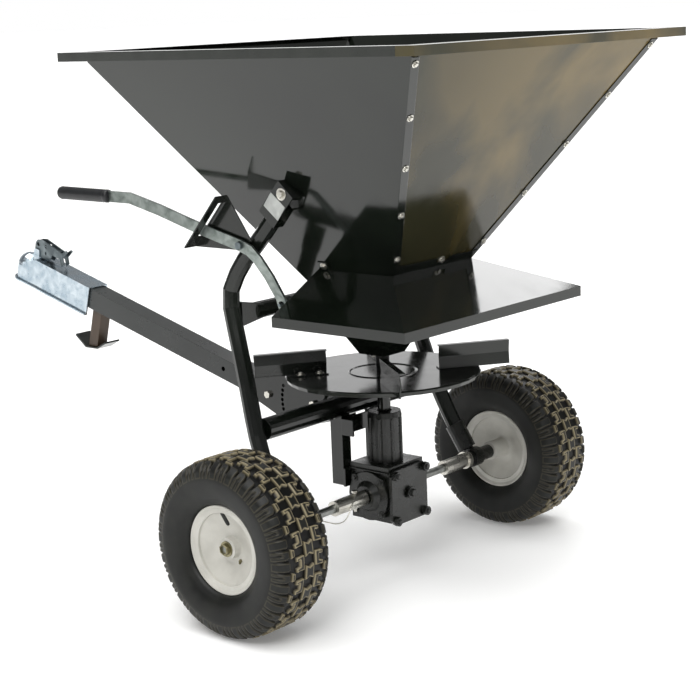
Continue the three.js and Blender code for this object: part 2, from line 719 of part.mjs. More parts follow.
// Gearbox: cast housing open at the rear, with cover, side caps and a neck round the upright shaft.
const CASE = 57;
const caseLow = 133;
const caseHigh = 250;
const housing = cut(
  join(box(-CASE, CASE, -CASE, CASE, caseLow, caseHigh), box(-64, 64, -56, 56, caseHigh - 3, caseHigh)),
  box(-49, 49, -80, 49, 141, 242),
  rod([-80, 0, AXLE_Z], [80, 0, AXLE_Z], AXLE_RADIUS + 1.5, 20),
  rod([0, 0, 230], [0, 0, 260], 16, 20),
);
add("gearbox_housing", housing, castIron);
const coverOutline = [
  [-62, 141],
  [-50, 128],
  [50, 128],
  [62, 141],
  [62, 241],
  [50, 254],
  [-50, 254],
  [-62, 241],
];
const rearCover = join(
  frontPlate(coverOutline, -66, -57.4),
  rod([0, -73, AXLE_Z], [0, -65, AXLE_Z], 9, 6),
  ...[
    [-48, 142],
    [48, 142],
    [-48, 240],
    [48, 240],
  ].map(([x, z]) => rod([x, -71, z], [x, -65, z], 7, 6)),
);
add("gearbox_rear_cover", rearCover, castIron);
for (const side of [-1, 1]) {
  const hand = side < 0 ? "left" : "right";
  const cap = cut(
    join(
      rod([side * 57.4, 0, AXLE_Z], [side * 67, 0, AXLE_Z], 56, 24),
      rod([side * 66, 0, AXLE_Z], [side * 80, 0, AXLE_Z], 36, 24, side < 0 ? 26 : 26),
    ),
    rod([side * 50, 0, AXLE_Z], [side * 90, 0, AXLE_Z], AXLE_RADIUS + 1, 20),
  );
  add(`gearbox_${hand}_cap`, cap, castIron);
}
const neckRibs = [0, 45, 90, 135, 180, 225, 270, 315].map((degrees) => {
  const angle = THREE.MathUtils.degToRad(degrees + 20);
  const [x, y] = [Math.cos(angle) * 37.5, Math.sin(angle) * 37.5];
  return rod([x, y, 262], [x, y, 362], 3.5, 6);
});
const neck = cut(
  join(
    box(-60, 60, -56, 56, caseHigh + GAP, caseHigh + 11),
    rod([0, 0, 255], [0, 0, 364], 36, 24),
    rod([0, 0, 362], [0, 0, 375], 39, 24, 37),
    ...neckRibs,
  ),
  rod([0, 0, 240], [0, 0, 385], AXLE_RADIUS + 1.2, 20),
  rod([0, 0, 352], [0, 0, 385], 17, 20),
);
add("gearbox_neck", neck, castIron);

// Bevel pair: pitch cones meet where the axle and the upright shaft cross.
function bevelGear(teeth, radius, distance, depth) {
  const count = teeth * 2;
  const ring = (scale, along, tooth) =>
    Array.from({ length: count }, (_, i) => {
      const angle = (2 * Math.PI * i) / count;
      const r = (radius + (i % 2 ? -tooth : tooth)) * scale;
      return [along, r * Math.cos(angle), r * Math.sin(angle)];
    });
  const faceEnd = distance * 0.6;
  const small = ring(0.6, faceEnd, 1.1);
  const large = ring(1, distance, 1.1);
  const back = ring(0.88, distance + depth, 0);
  const faces = [small, large, back].flat();
  const index = [];
  for (let k = 0; k < 2; k++) {
    for (let i = 0; i < count; i++) {
      const next = (i + 1) % count;
      const [a, b] = [k * count + i, k * count + next];
      const [c, d] = [a + count, b + count];
      index.push(a, d, b, a, c, d);
    }
  }
  const first = faces.push([faceEnd, 0, 0]) - 1;
  const last = faces.push([distance + depth, 0, 0]) - 1;
  for (let i = 0; i < count; i++) {
    const next = (i + 1) % count;
    index.push(first, i, next);
    index.push(last, 2 * count + next, 2 * count + i);
  }
  const geometry = new THREE.BufferGeometry();
  geometry.setAttribute("position", new THREE.Float32BufferAttribute(faces.flat(), 3));
  geometry.setIndex(index);
  return facingOut(geometry);
}
const driveGear = bevelGear(36, 39.6, 14, 12).translate(0, 0, AXLE_Z);
add("drive_gear", cut(driveGear, rod([0, 0, AXLE_Z], [60, 0, AXLE_Z], AXLE_RADIUS + GAP, 20)), steel);
const pinion = bevelGear(12, 12.4, 41, 5).rotateY(-Math.PI / 2).translate(0, 0, AXLE_Z);
add("pinion", cut(pinion, rod([0, 0, 200], [0, 0, 245], 7 + GAP, 16)), steel);

// Axle line: through shaft in the gearbox, two half axles, and two coupling sleeves.
const along = (x0, x1, radius, sides = 16) => rod([x0, 0, AXLE_Z], [x1, 0, AXLE_Z], radius, sides);
add("through_shaft", along(-131, 245, AXLE_RADIUS), steel);
add("left_half_axle", along(-520, -132, AXLE_RADIUS), steel);
add("right_half_axle", along(246, 520, AXLE_RADIUS), steel);
const pinX = -112;
const lockHole = rod([pinX, 0, AXLE_Z - 30], [pinX, 0, AXLE_Z + 30], 4.2, 10);
const sleeve = (x0, x1) => cut(along(x0, x1, 17, 20), along(x0 - 5, x1 + 5, AXLE_RADIUS + GAP, 16), lockHole);
add("left_coupling_sleeve", sleeve(-184, -84), zinc);
add("right_coupling_sleeve", join(sleeve(206, 290), cut(along(288, 299, 21, 20), along(280, 303, 9.8))), zinc);
spreader.getObjectByName("through_shaft").geometry = cut(along(-131, 245, AXLE_RADIUS), lockHole);
const axlePin = join(
  rod([pinX, 0, AXLE_Z - 24], [pinX, 0, AXLE_Z + 20], 3.6, 10),
  rod([pinX, 0, AXLE_Z + 19], [pinX, 0, AXLE_Z + 24], 7, 10),
);
add("axle_lock_pin", axlePin, zinc);

// Wheels: a turf tyre on a one-piece painted rim with a long hub.
const tyreHalf = [
  [77, 41],
  [77, 51.3],
  [95.6, 51.3],
  [101, 62],
  [125, 74.5],
  [150, 78.5],
  [174, 73],
  [186, 58],
  [190.5, 30],
];
const tyreInner = [
  [178, 46],
  [150, 68],
  [108, 55],
];
const mirrored = (points) => points.map(([r, x]) => [r, -x]);
const tyreProfile = [
  ...tyreHalf,
  ...mirrored(tyreHalf).reverse(),
  ...mirrored(tyreInner).reverse(),
  ...tyreInner,
  tyreHalf[0],
];
const rimProfile = [
  [10.3, -80],
  [22, -80],
  [22, 21],
  [72.5, 25],
  [72.5, -56],
  [94.9, -56],
  [94.9, -52.3],
  [76, -52.3],
  [76, 52.3],
  [94.9, 52.3],
  [94.9, 56],
  [72.5, 56],
  [72.5, 28.5],
  [22, 24.5],
  [22, 44],
  [10.3, 44],
  [10.3, -80],
];
for (const side of [-1, 1]) {
  const hand = side < 0 ? "left" : "right";
  for (const [part, profile, material] of [
    ["tyre", tyreProfile, rubber],
    ["rim", rimProfile, rimPaint],
  ]) {
    const geometry = facingOut(mergeVertices(bare(turned(profile, 32)), 1e-3));
    if (side < 0) geometry.rotateZ(Math.PI);
    const wheelPart = add(`${hand}_${part}`, geometry, material);
    wheelPart.position.set(side * WHEEL_X, 0, AXLE_Z);
  }
}

function bare(geometry) {
  const copy = new THREE.BufferGeometry();
  copy.setAttribute("position", geometry.getAttribute("position"));
  if (geometry.index) copy.setIndex(geometry.index);
  return copy;
}

// Spinner: upright shaft, hub, dished disc and four channel blades.
const spinnerShaft = join(
  rod([0, 0, 212], [0, 0, 239], 7, 16),
  rod([0, 0, 238], [0, 0, 614], AXLE_RADIUS, 16),
  rod([0, 0, 376], [0, 0, DISC_Z - 3.4], 14.5, 18),
  rod([0, 0, DISC_Z - 8], [0, 0, DISC_Z - 3.4], 40, 20),
  rod([0, 0, DISC_Z + 0.4], [0, 0, 520], 15.5, 18),
);
add("spinner_shaft", spinnerShaft, castIron);
const discProfile = [
  [10, DISC_Z - 3],
  [213, DISC_Z - 3],
  [213, DISC_Z - 11],
  [DISC_RADIUS - 3, DISC_Z - 11],
  [DISC_RADIUS, DISC_Z - 3],
  [DISC_RADIUS - 3, DISC_Z],
  [78, DISC_Z],
  [75, DISC_Z + 2],
  [72, DISC_Z],
  [10, DISC_Z],
  [10, DISC_Z - 3],
];
add("spinner_disc", facingOut(mergeVertices(bare(turnedUpright(discProfile, 40)), 1e-3)), blackPaint);

const bladeSection = [
  [0, 0],
  [26, 0],
  [26, 2.5],
  [2.5, 2.5],
  [5.5, 27],
  [2.5, BLADE_HEIGHT - 2.5],
  [14, BLADE_HEIGHT - 2.5],
  [14, BLADE_HEIGHT],
  [0, BLADE_HEIGHT],
  [3, 27],
];
for (let i = 0; i < 4; i++) {
  const length = BLADE_OUTER - BLADE_INNER;
  const profile = extrude(outline(bladeSection), length);
  const turn = new THREE.Matrix4().set(0, 0, 1, 0, 1, 0, 0, 0, 0, 1, 0, 0, 0, 0, 0, 1);
  const blade = cut(profile.applyMatrix4(turn), box(82, length + 5, 3.2, 40, -5, 10));
  const mesh = add(`spinner_blade_${i + 1}`, blade, blackPaint);
  const angle = THREE.MathUtils.degToRad(FIRST_BLADE_ANGLE + 90 * i);
  const out = new THREE.Vector2(Math.cos(angle), Math.sin(angle));
  mesh.position.set(
    out.x * BLADE_INNER + out.y * BLADE_OFFSET,
    out.y * BLADE_INNER - out.x * BLADE_OFFSET,
    DISC_Z + GAP,
  );
  mesh.rotation.z = angle;
}
const agitatorPath = [
  [-48, 0, 604],
  [-46, 0, 588],
  [-30, 0, 583],
  [30, 0, 583],
  [46, 0, 588],
  [48, 0, 604],
];
const agitator = cut(
  tubeAlong(agitatorPath, 4, 0, 8, 18),
  rod([0, 0, 570], [0, 0, 600], AXLE_RADIUS + GAP, 16),
);
const agitatorRing = cut(rod([0, 0, 577], [0, 0, 589], 14, 16), rod([0, 0, 570], [0, 0, 600], AXLE_RADIUS + GAP, 16));
add("agitator", join(agitator, agitatorRing), steel);

// Control lever: a flat bar with an elbow at its pivot, its lower arm led in towards the gate rod.
const LEVER_WIDTH = 25;
const LEVER_THICK = 6;
const leverPath = [
  [LEVER_X, 640, 868],
  [LEVER_X, 464, 866],
  [LEVER_X, 368, 843.5],
  [LEVER_X, 275, 817.5],
  [LEVER_X, 199, 798],
  [LEVER_X, 124, 780],
  [LEVER_X + 2, 100, 770],
  [LEVER_X + 8, 84, 752],
  [LEVER_X + 28, 71, 712],
  [LEVER_X + 50, 62, 664],
  [LEVER_X + 57, 59, 636],
];

function flatBar(path, width, thick) {
  const rings = path.map((point, i) => {
    const before = new THREE.Vector3(...path[Math.max(i - 1, 0)]);
    const after = new THREE.Vector3(...path[Math.min(i + 1, path.length - 1)]);
    const along = after.sub(before).normalize();
    const across = new THREE.Vector3(0, -along.z, along.y).normalize();
    const through = new THREE.Vector3().crossVectors(along, across).normalize();
    return [
      [1, 1],
      [-1, 1],
      [-1, -1],
      [1, -1],
    ].map(([a, b]) =>
      new THREE.Vector3(...point)
        .addScaledVector(across, (a * width) / 2)
        .addScaledVector(through, (b * thick) / 2)
        .toArray(),
    );
  });
  const positions = rings.flat(2);
  const index = [];
  for (let k = 0; k < rings.length - 1; k++) {
    for (let i = 0; i < 4; i++) {
      const next = (i + 1) % 4;
      const [a, b] = [4 * k + i, 4 * k + next];
      index.push(a, b, b + 4, a, b + 4, a + 4);
    }
  }
  const end = 4 * (rings.length - 1);
  index.push(0, 2, 1, 0, 3, 2, end, end + 1, end + 2, end, end + 2, end + 3);
  const geometry = new THREE.BufferGeometry();
  geometry.setAttribute("position", new THREE.Float32BufferAttribute(positions, 3));
  geometry.setIndex(index);
  return facingOut(geometry);
}
const ROD_PIN = [-250, 61, 650];
const leverBar = cut(
  flatBar(leverPath, LEVER_WIDTH, LEVER_THICK),
  rod([LEVER_X - 20, LEVER_Y, LEVER_Z], [LEVER_X + 20, LEVER_Y, LEVER_Z], 5.5, 14),
  rod([ROD_PIN[0] - 25, ROD_PIN[1], ROD_PIN[2]], [ROD_PIN[0] + 25, ROD_PIN[1], ROD_PIN[2]], 8, 14),
);
add("control_lever", leverBar, zinc);
const gripBar = [
  [LEVER_X, 702, 868.7],
  [LEVER_X, 532, 866.8],
];
const grip = cut(
  rod(gripBar[0], gripBar[1], 15.5, 14),
  box(LEVER_X - LEVER_THICK / 2 - GAP, LEVER_X + LEVER_THICK / 2 + GAP, 500, 641, 853.8, 881.5),
);
add("lever_grip", grip, gripRubber);
const pivotAt = (x) => [LEVER_X + x, LEVER_Y, LEVER_Z];
const leverPivot = join(
  rod(pivotAt(-10), pivotAt(-3.4), 9, 6),
  rod(pivotAt(-4), pivotAt(10.8), 5, 12),
  rod(pivotAt(4.2), pivotAt(7), 9, 14),
);
add("lever_pivot_bolt", leverPivot, zinc);

// Lever guide: a triangular web on the leg with a slotted flange that the lever runs in.
const WEB_X = LEVER_X + 10.4;
const guideWeb = sidePlate(
  [
    [268, 768],
    [165, 882],
    [100, 790],
    [118, 768],
  ],
  WEB_X - 3,
  WEB_X,
);
const guideFlange = (x0, x1, from, to) => {
  const at = (t) => [268 + (165 - 268) * t, 768 + (882 - 768) * t];
  const normal = [0.742, 0.67];
  const [a, b] = [at(from), at(to)];
  const points = [a, [a[0] + normal[0] * 3, a[1] + normal[1] * 3], [b[0] + normal[0] * 3, b[1] + normal[1] * 3], b];
  return sidePlate(points, x0, x1);
};
const guide = cut(
  join(guideWeb, guideFlange(LEVER_X - 26, WEB_X, 0, 1)),
  guideFlangeSlot(),
  rod([LEVER_X + 5, LEVER_Y, LEVER_Z], [LEVER_X + 30, LEVER_Y, LEVER_Z], 5.5, 12),
);
add("lever_guide", facingOut(guide), blackPaint);

function guideFlangeSlot() {
  const low = [268 + (165 - 268) * 0.2, 768 + (882 - 768) * 0.2];
  const high = [268 + (165 - 268) * 0.87, 768 + (882 - 768) * 0.87];
  const n = [0.742 * 12, 0.67 * 12];
  return sidePlate(
    [
      [low[0] - n[0], low[1] - n[1]],
      [low[0] + n[0], low[1] + n[1]],
      [high[0] + n[0], high[1] + n[1]],
      [high[0] - n[0], high[1] - n[1]],
    ],
    LEVER_X - 6,
    LEVER_X + 6,
  );
}

// Control rod: from the lever's lower arm to the tab on the gate.
const rodEnd = [-42, 83, FLOOR_Z + 12];
const controlRod = join(
  rod([ROD_PIN[0] - 12, ROD_PIN[1], ROD_PIN[2]], [ROD_PIN[0] + 22, ROD_PIN[1], ROD_PIN[2]], 3.5, 10),
  rod([ROD_PIN[0] + 20, ROD_PIN[1], ROD_PIN[2]], [rodEnd[0], 90, rodEnd[2]], 4, 10),
  new THREE.SphereGeometry(4.6, 8, 5).translate(ROD_PIN[0] + 21, ROD_PIN[1], ROD_PIN[2]),
  rod([rodEnd[0], 94, rodEnd[2]], [rodEnd[0], 72, rodEnd[2]], 3.5, 10),
  new THREE.SphereGeometry(5.2, 8, 5).translate(rodEnd[0], 90, rodEnd[2]),
);
add("control_rod", controlRod, zinc);

// Bottom centre of the bounding box to the zero point.
spreader.updateMatrixWorld(true);
const bounds = new THREE.Box3().setFromObject(spreader, true);
const centre = bounds.getCenter(new THREE.Vector3());
spreader.position.set(-centre.x, -centre.y, -bounds.min.z);

export default spreader;
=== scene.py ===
import math

import bmesh
import bpy
from mathutils import Matrix, Vector
from mathutils.bvhtree import BVHTree


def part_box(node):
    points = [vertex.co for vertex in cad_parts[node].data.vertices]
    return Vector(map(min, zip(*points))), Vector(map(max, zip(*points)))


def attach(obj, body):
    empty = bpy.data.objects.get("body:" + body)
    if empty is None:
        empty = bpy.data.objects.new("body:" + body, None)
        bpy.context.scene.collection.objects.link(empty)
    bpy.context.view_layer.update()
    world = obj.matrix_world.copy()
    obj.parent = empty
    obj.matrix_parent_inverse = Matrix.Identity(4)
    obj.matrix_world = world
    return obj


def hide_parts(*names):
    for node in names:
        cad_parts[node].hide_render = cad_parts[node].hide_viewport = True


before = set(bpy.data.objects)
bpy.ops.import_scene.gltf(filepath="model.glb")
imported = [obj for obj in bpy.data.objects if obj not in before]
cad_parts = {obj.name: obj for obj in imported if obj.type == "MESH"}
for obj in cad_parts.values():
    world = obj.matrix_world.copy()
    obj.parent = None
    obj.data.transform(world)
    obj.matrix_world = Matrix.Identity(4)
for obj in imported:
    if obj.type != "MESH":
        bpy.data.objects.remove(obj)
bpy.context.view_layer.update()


# Studio: a pale floor under even, soft light, and a long lens at head height behind the left wheel.
# Positions on the machine are in millimetres from the ground point under the middle of its axle.
axle_low, axle_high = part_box("through_shaft")
AXLE_Y = (axle_low[1] + axle_high[1]) / 2
AXLE_Z = (axle_low[2] + axle_high[2]) / 2 * 1000


def at(x, y, z):
    return Vector((x / 1000, y / 1000 + AXLE_Y, z / 1000))


def linear(hex_colour):
    channels = [int(hex_colour[i:i + 2], 16) / 255 for i in (1, 3, 5)]
    return [c / 12.92 if c <= 0.04045 else ((c + 0.055) / 1.055) ** 2.4 for c in channels] + [1.0]


def put(tree, kind, inputs=None, **settings):
    node = tree.nodes.new(kind)
    for name, value in settings.items():
        setattr(node, name, value)
    for name, value in (inputs or {}).items():
        if isinstance(value, bpy.types.NodeSocket):
            tree.links.new(value, node.inputs[name])
        else:
            node.inputs[name].default_value = value
    return node


def stops(ramp_node, *pairs):
    elements = ramp_node.color_ramp.elements
    while len(elements) > 1:
        elements.remove(elements[-1])
    for i, (place, colour) in enumerate(pairs):
        element = elements[0] if i == 0 else elements.new(place)
        element.position = place
        element.color = colour if len(colour) == 4 else (*colour, 1.0)
    return ramp_node.outputs["Color"]


def grey(value):
    return (value, value, value, 1.0)


yaw, pitch, roll = (math.radians(a) for a in (48.7011, -11.5408, -2.3489))
forward = Vector((math.sin(yaw) * math.cos(pitch), math.cos(yaw) * math.cos(pitch), math.sin(pitch)))
level = Vector((math.cos(yaw), -math.sin(yaw), 0))
upward = level.cross(forward)
right = math.cos(roll) * level + math.sin(roll) * upward
top = -math.sin(roll) * level + math.cos(roll) * upward
camera = bpy.data.objects.new("camera", bpy.data.cameras.new("camera"))
camera.data.sensor_width = 36
camera.data.lens = 85.985
camera.data.clip_end = 500
camera.matrix_world = Matrix.Translation(at(-2789.79, -2355.66, 1260.72)) @ Matrix(
    (right, top, -forward)
).transposed().to_4x4()
bpy.context.scene.collection.objects.link(camera)
bpy.context.scene.camera = camera
bpy.context.scene.view_settings.view_transform = "Standard"

floor_material = bpy.data.materials.new("backlit matt white backdrop paper")
floor_material.use_nodes = True
floor_tree = floor_material.node_tree
paper = floor_tree.nodes["Principled BSDF"]
paper_place = put(floor_tree, "ShaderNodeTexCoord")
paper_tone = put(
    floor_tree, "ShaderNodeTexNoise", {"Vector": paper_place.outputs["Object"], "Scale": 0.6, "Detail": 3.0}
)
paper_colour = stops(
    put(floor_tree, "ShaderNodeValToRGB", {"Fac": paper_tone.outputs["Fac"]}),
    (0.3, linear("#F4F4F3")),
    (0.7, linear("#F7F7F6")),
)
floor_tree.links.new(paper_colour, paper.inputs["Base Color"])
paper.inputs["Roughness"].default_value = 0.9
paper.inputs["Specular IOR Level"].default_value = 0.1
# The paper is lit from below as well, which keeps the shadows on it thin.
paper.inputs["Emission Color"].default_value = grey(1.0)
paper.inputs["Emission Strength"].default_value = 0.16
floor_mesh = bpy.data.meshes.new("floor")
floor_mesh.from_pydata([(-150, -150, 0), (150, -150, 0), (150, 150, 0), (-150, 150, 0)], [], [(0, 1, 2, 3)])
floor_mesh.materials.append(floor_material)
floor = bpy.data.objects.new("floor", floor_mesh)
bpy.context.scene.collection.objects.link(floor)

# The room: a dim grey surround with a bright ceiling, a lit wall beyond the machine that the disc
# mirrors, and a soft window high on that side that shows in the deflector's rear facet.
world = bpy.data.worlds.new("room")
bpy.context.scene.world = world
world.use_nodes = True
room = world.node_tree
room_place = put(room, "ShaderNodeTexCoord").outputs["Generated"]
room_height = put(room, "ShaderNodeSeparateXYZ", {"Vector": room_place}).outputs["Z"]


def glow(direction, edge, core, strength):
    """Light from round one direction of the room: from edge to core are cosines of the angle off it."""
    aim = Vector(direction).normalized()
    near = put(room, "ShaderNodeVectorMath", {0: room_place}, operation="DOT_PRODUCT")
    near.inputs[1].default_value = aim
    return put(
        room,
        "ShaderNodeMapRange",
        {
            "Value": near.outputs["Value"],
            "From Min": edge,
            "From Max": core,
            "To Min": 0.0,
            "To Max": strength,
        },
        interpolation_type="SMOOTHSTEP",
    ).outputs["Result"]


low_band = put(
    room,
    "ShaderNodeMapRange",
    {"Value": room_height, "From Min": 0.3, "From Max": 0.42, "To Min": 1.0, "To Max": 0.0},
)
wall = put(
    room,
    "ShaderNodeMath",
    {0: glow((0.75, 0.65, 0), 0.55, 0.85, 1.0), 1: low_band.outputs["Result"]},
    operation="MULTIPLY",
)
window = put(
    room,
    "ShaderNodeMath",
    {0: glow((0.736, 0.287, 0.613), 0.955, 0.985, 0.3), 1: wall.outputs["Value"]},
    operation="ADD",
)
ceiling = put(
    room,
    "ShaderNodeMath",
    {0: glow((0, 0, 1), 0.8, 0.93, 1.5), 1: window.outputs["Value"]},
    operation="ADD",
)
room_light = put(room, "ShaderNodeMath", {0: ceiling.outputs["Value"], 1: 0.24}, operation="ADD")
seen = put(room, "ShaderNodeLightPath").outputs["Is Camera Ray"]
room_tone = put(
    room, "ShaderNodeMix", {"Factor": seen, "A": room_light.outputs["Value"], "B": 1.0}, data_type="FLOAT",
)
room.links.new(room_tone.outputs["Result"], room.nodes["Background"].inputs["Color"])

sun = bpy.data.objects.new("overhead skylight", bpy.data.lights.new("overhead skylight", "SUN"))
sun.data.angle = math.radians(70)
sun.data.energy = 1.9
sun.rotation_euler = (math.radians(8), math.radians(-12), 0)
bpy.context.scene.collection.objects.link(sun)
for name, place, aim, size, power in (
    ("key softbox", (-3.4, -2.2, 3.4), (0, -0.3, 0.4), 2.0, 60),
    ("far side softbox", (4.2, 1.4, 3.6), (0, -0.3, 0.6), 1.9, 45),
):
    light = bpy.data.objects.new(name, bpy.data.lights.new(name, "AREA"))
    light.data.shape = "DISK"
    light.data.size = size
    light.data.energy = power
    light.location = place
    light.rotation_euler = (Vector(aim) - Vector(place)).to_track_quat("-Z", "Y").to_euler()
    bpy.context.scene.collection.objects.link(light)


# Hopper and deflector: pressed and folded steel sheet in a high-gloss black powder coat with a green
# undertone. The coat levels into a faint orange peel, and the rear sheet is painted lighter with warm soft
# patches of painted reflection.
def powder_coat(name, dark, light, roughness, reflection_tint=None, sheen=0.44):
    material = bpy.data.materials.new(name)
    material.use_nodes = True
    tree = material.node_tree
    shader = tree.nodes["Principled BSDF"]
    place = put(tree, "ShaderNodeTexCoord").outputs["Object"]
    # Tone drifts over about 0.3 m, and orange peel is 3 mm across.
    drift = put(tree, "ShaderNodeTexNoise", {"Vector": place, "Scale": 3.0, "Detail": 2.0})
    colour = stops(
        put(tree, "ShaderNodeValToRGB", {"Fac": drift.outputs["Fac"]}),
        (0.35, linear(dark)),
        (0.65, linear(light)),
    )
    # Painted reflection: large soft warm patches mixed into the base colour, standing in for a lit backdrop
    # mirrored in the gloss.
    if reflection_tint:
        reflection_patch = put(
            tree,
            "ShaderNodeTexNoise",
            {"Vector": place, "Scale": 3.4, "Detail": 4.0, "Roughness": 0.45, "Distortion": 0.5},
        )
        reflection_amount = stops(
            put(tree, "ShaderNodeValToRGB", {"Fac": reflection_patch.outputs["Fac"]}),
            (0.4, grey(0.1)),
            (0.62, grey(0.9)),
        )
        # The painted reflection grows stronger towards the right of the sheet.
        along = put(tree, "ShaderNodeSeparateXYZ", {"Vector": place}).outputs["X"]
        reflection_rise = put(
            tree,
            "ShaderNodeMapRange",
            {"Value": along, "From Min": -0.35, "From Max": 0.25, "To Min": 0.28, "To Max": 1.0},
        ).outputs["Result"]
        reflection_amount = put(tree, "ShaderNodeMath", {0: reflection_amount, 1: reflection_rise}, operation="MULTIPLY").outputs["Value"]
        reflection_mixed = put(
            tree,
            "ShaderNodeMix",
            {"Factor": reflection_amount, "A": colour, "B": linear(reflection_tint)},
            data_type="RGBA",
        )
        colour = reflection_mixed.outputs["Result"]
    tree.links.new(colour, shader.inputs["Base Color"])
    scuff = put(tree, "ShaderNodeTexNoise", {"Vector": place, "Scale": 22.0, "Detail": 5.0})
    gloss = put(
        tree,
        "ShaderNodeMapRange",
        {
            "Value": scuff.outputs["Fac"],
            "From Min": 0.3,
            "From Max": 0.75,
            "To Min": roughness,
            "To Max": roughness + 0.07,
        },
    )
    tree.links.new(gloss.outputs["Result"], shader.inputs["Roughness"])
    shader.inputs["IOR"].default_value = 1.55
    shader.inputs["Specular IOR Level"].default_value = sheen
    edge = put(tree, "ShaderNodeBevel", {"Radius": 0.0012})
    peel = put(tree, "ShaderNodeTexNoise", {"Vector": place, "Scale": 330.0, "Detail": 1.0})
    bump = put(
        tree,
        "ShaderNodeBump",
        {
            "Height": peel.outputs["Fac"],
            "Strength": 0.035,
            "Distance": 0.0004,
            "Normal": edge.outputs["Normal"],
        },
    )
    tree.links.new(bump.outputs["Normal"], shader.inputs["Normal"])
    return material


def dress(material, *nodes, crease=32):
    for name in nodes:
        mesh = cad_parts[name].data
        mesh.materials.clear()
        mesh.materials.append(material)
        for face in mesh.polygons:
            face.use_smooth = True
        mesh.set_sharp_from_angle(angle=math.radians(crease))


gloss_black = powder_coat("gloss black powder coat", "#0C100C", "#161B15", 0.06)
# The rear sheet's lighter base tones and its warm patches are painted reflection, not dust.
black_with_painted_reflection = powder_coat(
    "gloss black powder coat with painted reflection", "#1F2217", "#333323", 0.1, reflection_tint="#7A683E", sheen=0.26,
)
dress(gloss_black, "hopper_left_panel", "hopper_right_panel", "hopper_front_panel", "deflector_shield")
dress(black_with_painted_reflection, "hopper_rear_panel")
dress(gloss_black, "hopper_floor", "drop_funnel")

# Seam bolts: zinc-plated flange screws that hold the folded seam strips of the side sheets to the rear
# and front sheets. Each is a low hexagon on a pressed washer.
hopper_low, hopper_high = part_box("hopper_rear_panel")
_, front_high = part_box("hopper_front_panel")
HOPPER_Y = (hopper_low[1] + front_high[1]) / 2
SEAM_INSET = 0.012


def corners(node):
    return [v.co.copy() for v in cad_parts[node].data.vertices]


def skin(*nodes):
    """One surface made of several of the frame's sheets, to rest a screw on."""
    places, faces = [], []
    for node in nodes:
        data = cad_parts[node].data
        first = len(places)
        places += [v.co.copy() for v in data.vertices]
        faces += [[first + i for i in face.vertices] for face in data.polygons]
    return BVHTree.FromPolygons(places, faces)


def land(surface, start, direction):
    """Where a line from outside meets a surface, and the way that surface faces."""
    place, normal, _, _ = surface.ray_cast(Vector(start), Vector(direction))
    return place, (normal if normal.dot(Vector(direction)) < 0 else -normal)


def long_way(points):
    """Middle, long direction, and half sizes along and across of an outline of (a, b) points."""
    middle = [(min(p[i] for p in points) + max(p[i] for p in points)) / 2 for i in (0, 1)]
    aa, bb, ab = (
        sum((p[i] - middle[i]) * (p[j] - middle[j]) for p in points) for i, j in ((0, 0), (1, 1), (0, 1))
    )
    turned = 0.5 * math.atan2(2 * ab, aa - bb)
    way = Vector((math.cos(turned), math.sin(turned)))
    across = Vector((-way.y, way.x))
    reaches = [
        max(abs((Vector(p[:2]) - Vector(middle)).dot(direction)) for p in points)
        for direction in (way, across)
    ]
    return Vector(middle), way, across, reaches


def turn(mesh, place, axis, profile, sides=20, spin=0.0):
    """A turned shape: profile is (radius, height) in metres along the axis from its place."""
    axis = Vector(axis).normalized()
    side = axis.orthogonal().normalized()
    other = axis.cross(side)
    rings = []
    for radius, height in profile:
        centre = Vector(place) + axis * height
        if radius < 1e-6:
            rings.append([mesh.verts.new(centre)])
            continue
        angles = (spin + 2 * math.pi * i / sides for i in range(sides))
        rings.append(
            [mesh.verts.new(centre + radius * (math.cos(a) * side + math.sin(a) * other)) for a in angles]
        )
    for low, high in zip(rings, rings[1:]):
        for i in range(sides):
            j = (i + 1) % sides
            corners = [low[i % len(low)], low[j % len(low)], high[j % len(high)], high[i % len(high)]]
            face = list(dict.fromkeys(corners))
            if len(face) > 2:
                mesh.faces.new(face)


def hexagon_bolt(mesh, place, axis, across, washer=True, spin=0.3):
    """A hexagon head with a chamfered crown, on a washer. Across is the width over its flats, in metres."""
    radius = across / math.sqrt(3)
    base = 0.0
    if washer:
        edge = across * 0.95
        turn(mesh, place, axis, [(0, 0), (edge, 0), (edge, 0.0012), (edge * 0.96, 0.0017), (0, 0.0017)], 20)
        base = 0.0016
    crown = base + across * 0.42
    profile = [(0, base), (radius, base), (radius, crown - across * 0.06), (radius * 0.86, crown), (0, crown)]
    turn(mesh, place, axis, profile, 6, spin)


def finish_piece(name, mesh, material, body, replaces=(), crease=35, smooth=True):
    bmesh.ops.recalc_face_normals(mesh, faces=mesh.faces)
    data = bpy.data.meshes.new(name)
    mesh.to_mesh(data)
    mesh.free()
    data.materials.append(material)
    for face in data.polygons:
        face.use_smooth = smooth
    data.set_sharp_from_angle(angle=math.radians(crease))
    piece = bpy.data.objects.new(name, data)
    bpy.context.scene.collection.objects.link(piece)
    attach(piece, body)
    if replaces:
        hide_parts(*replaces)
    return piece


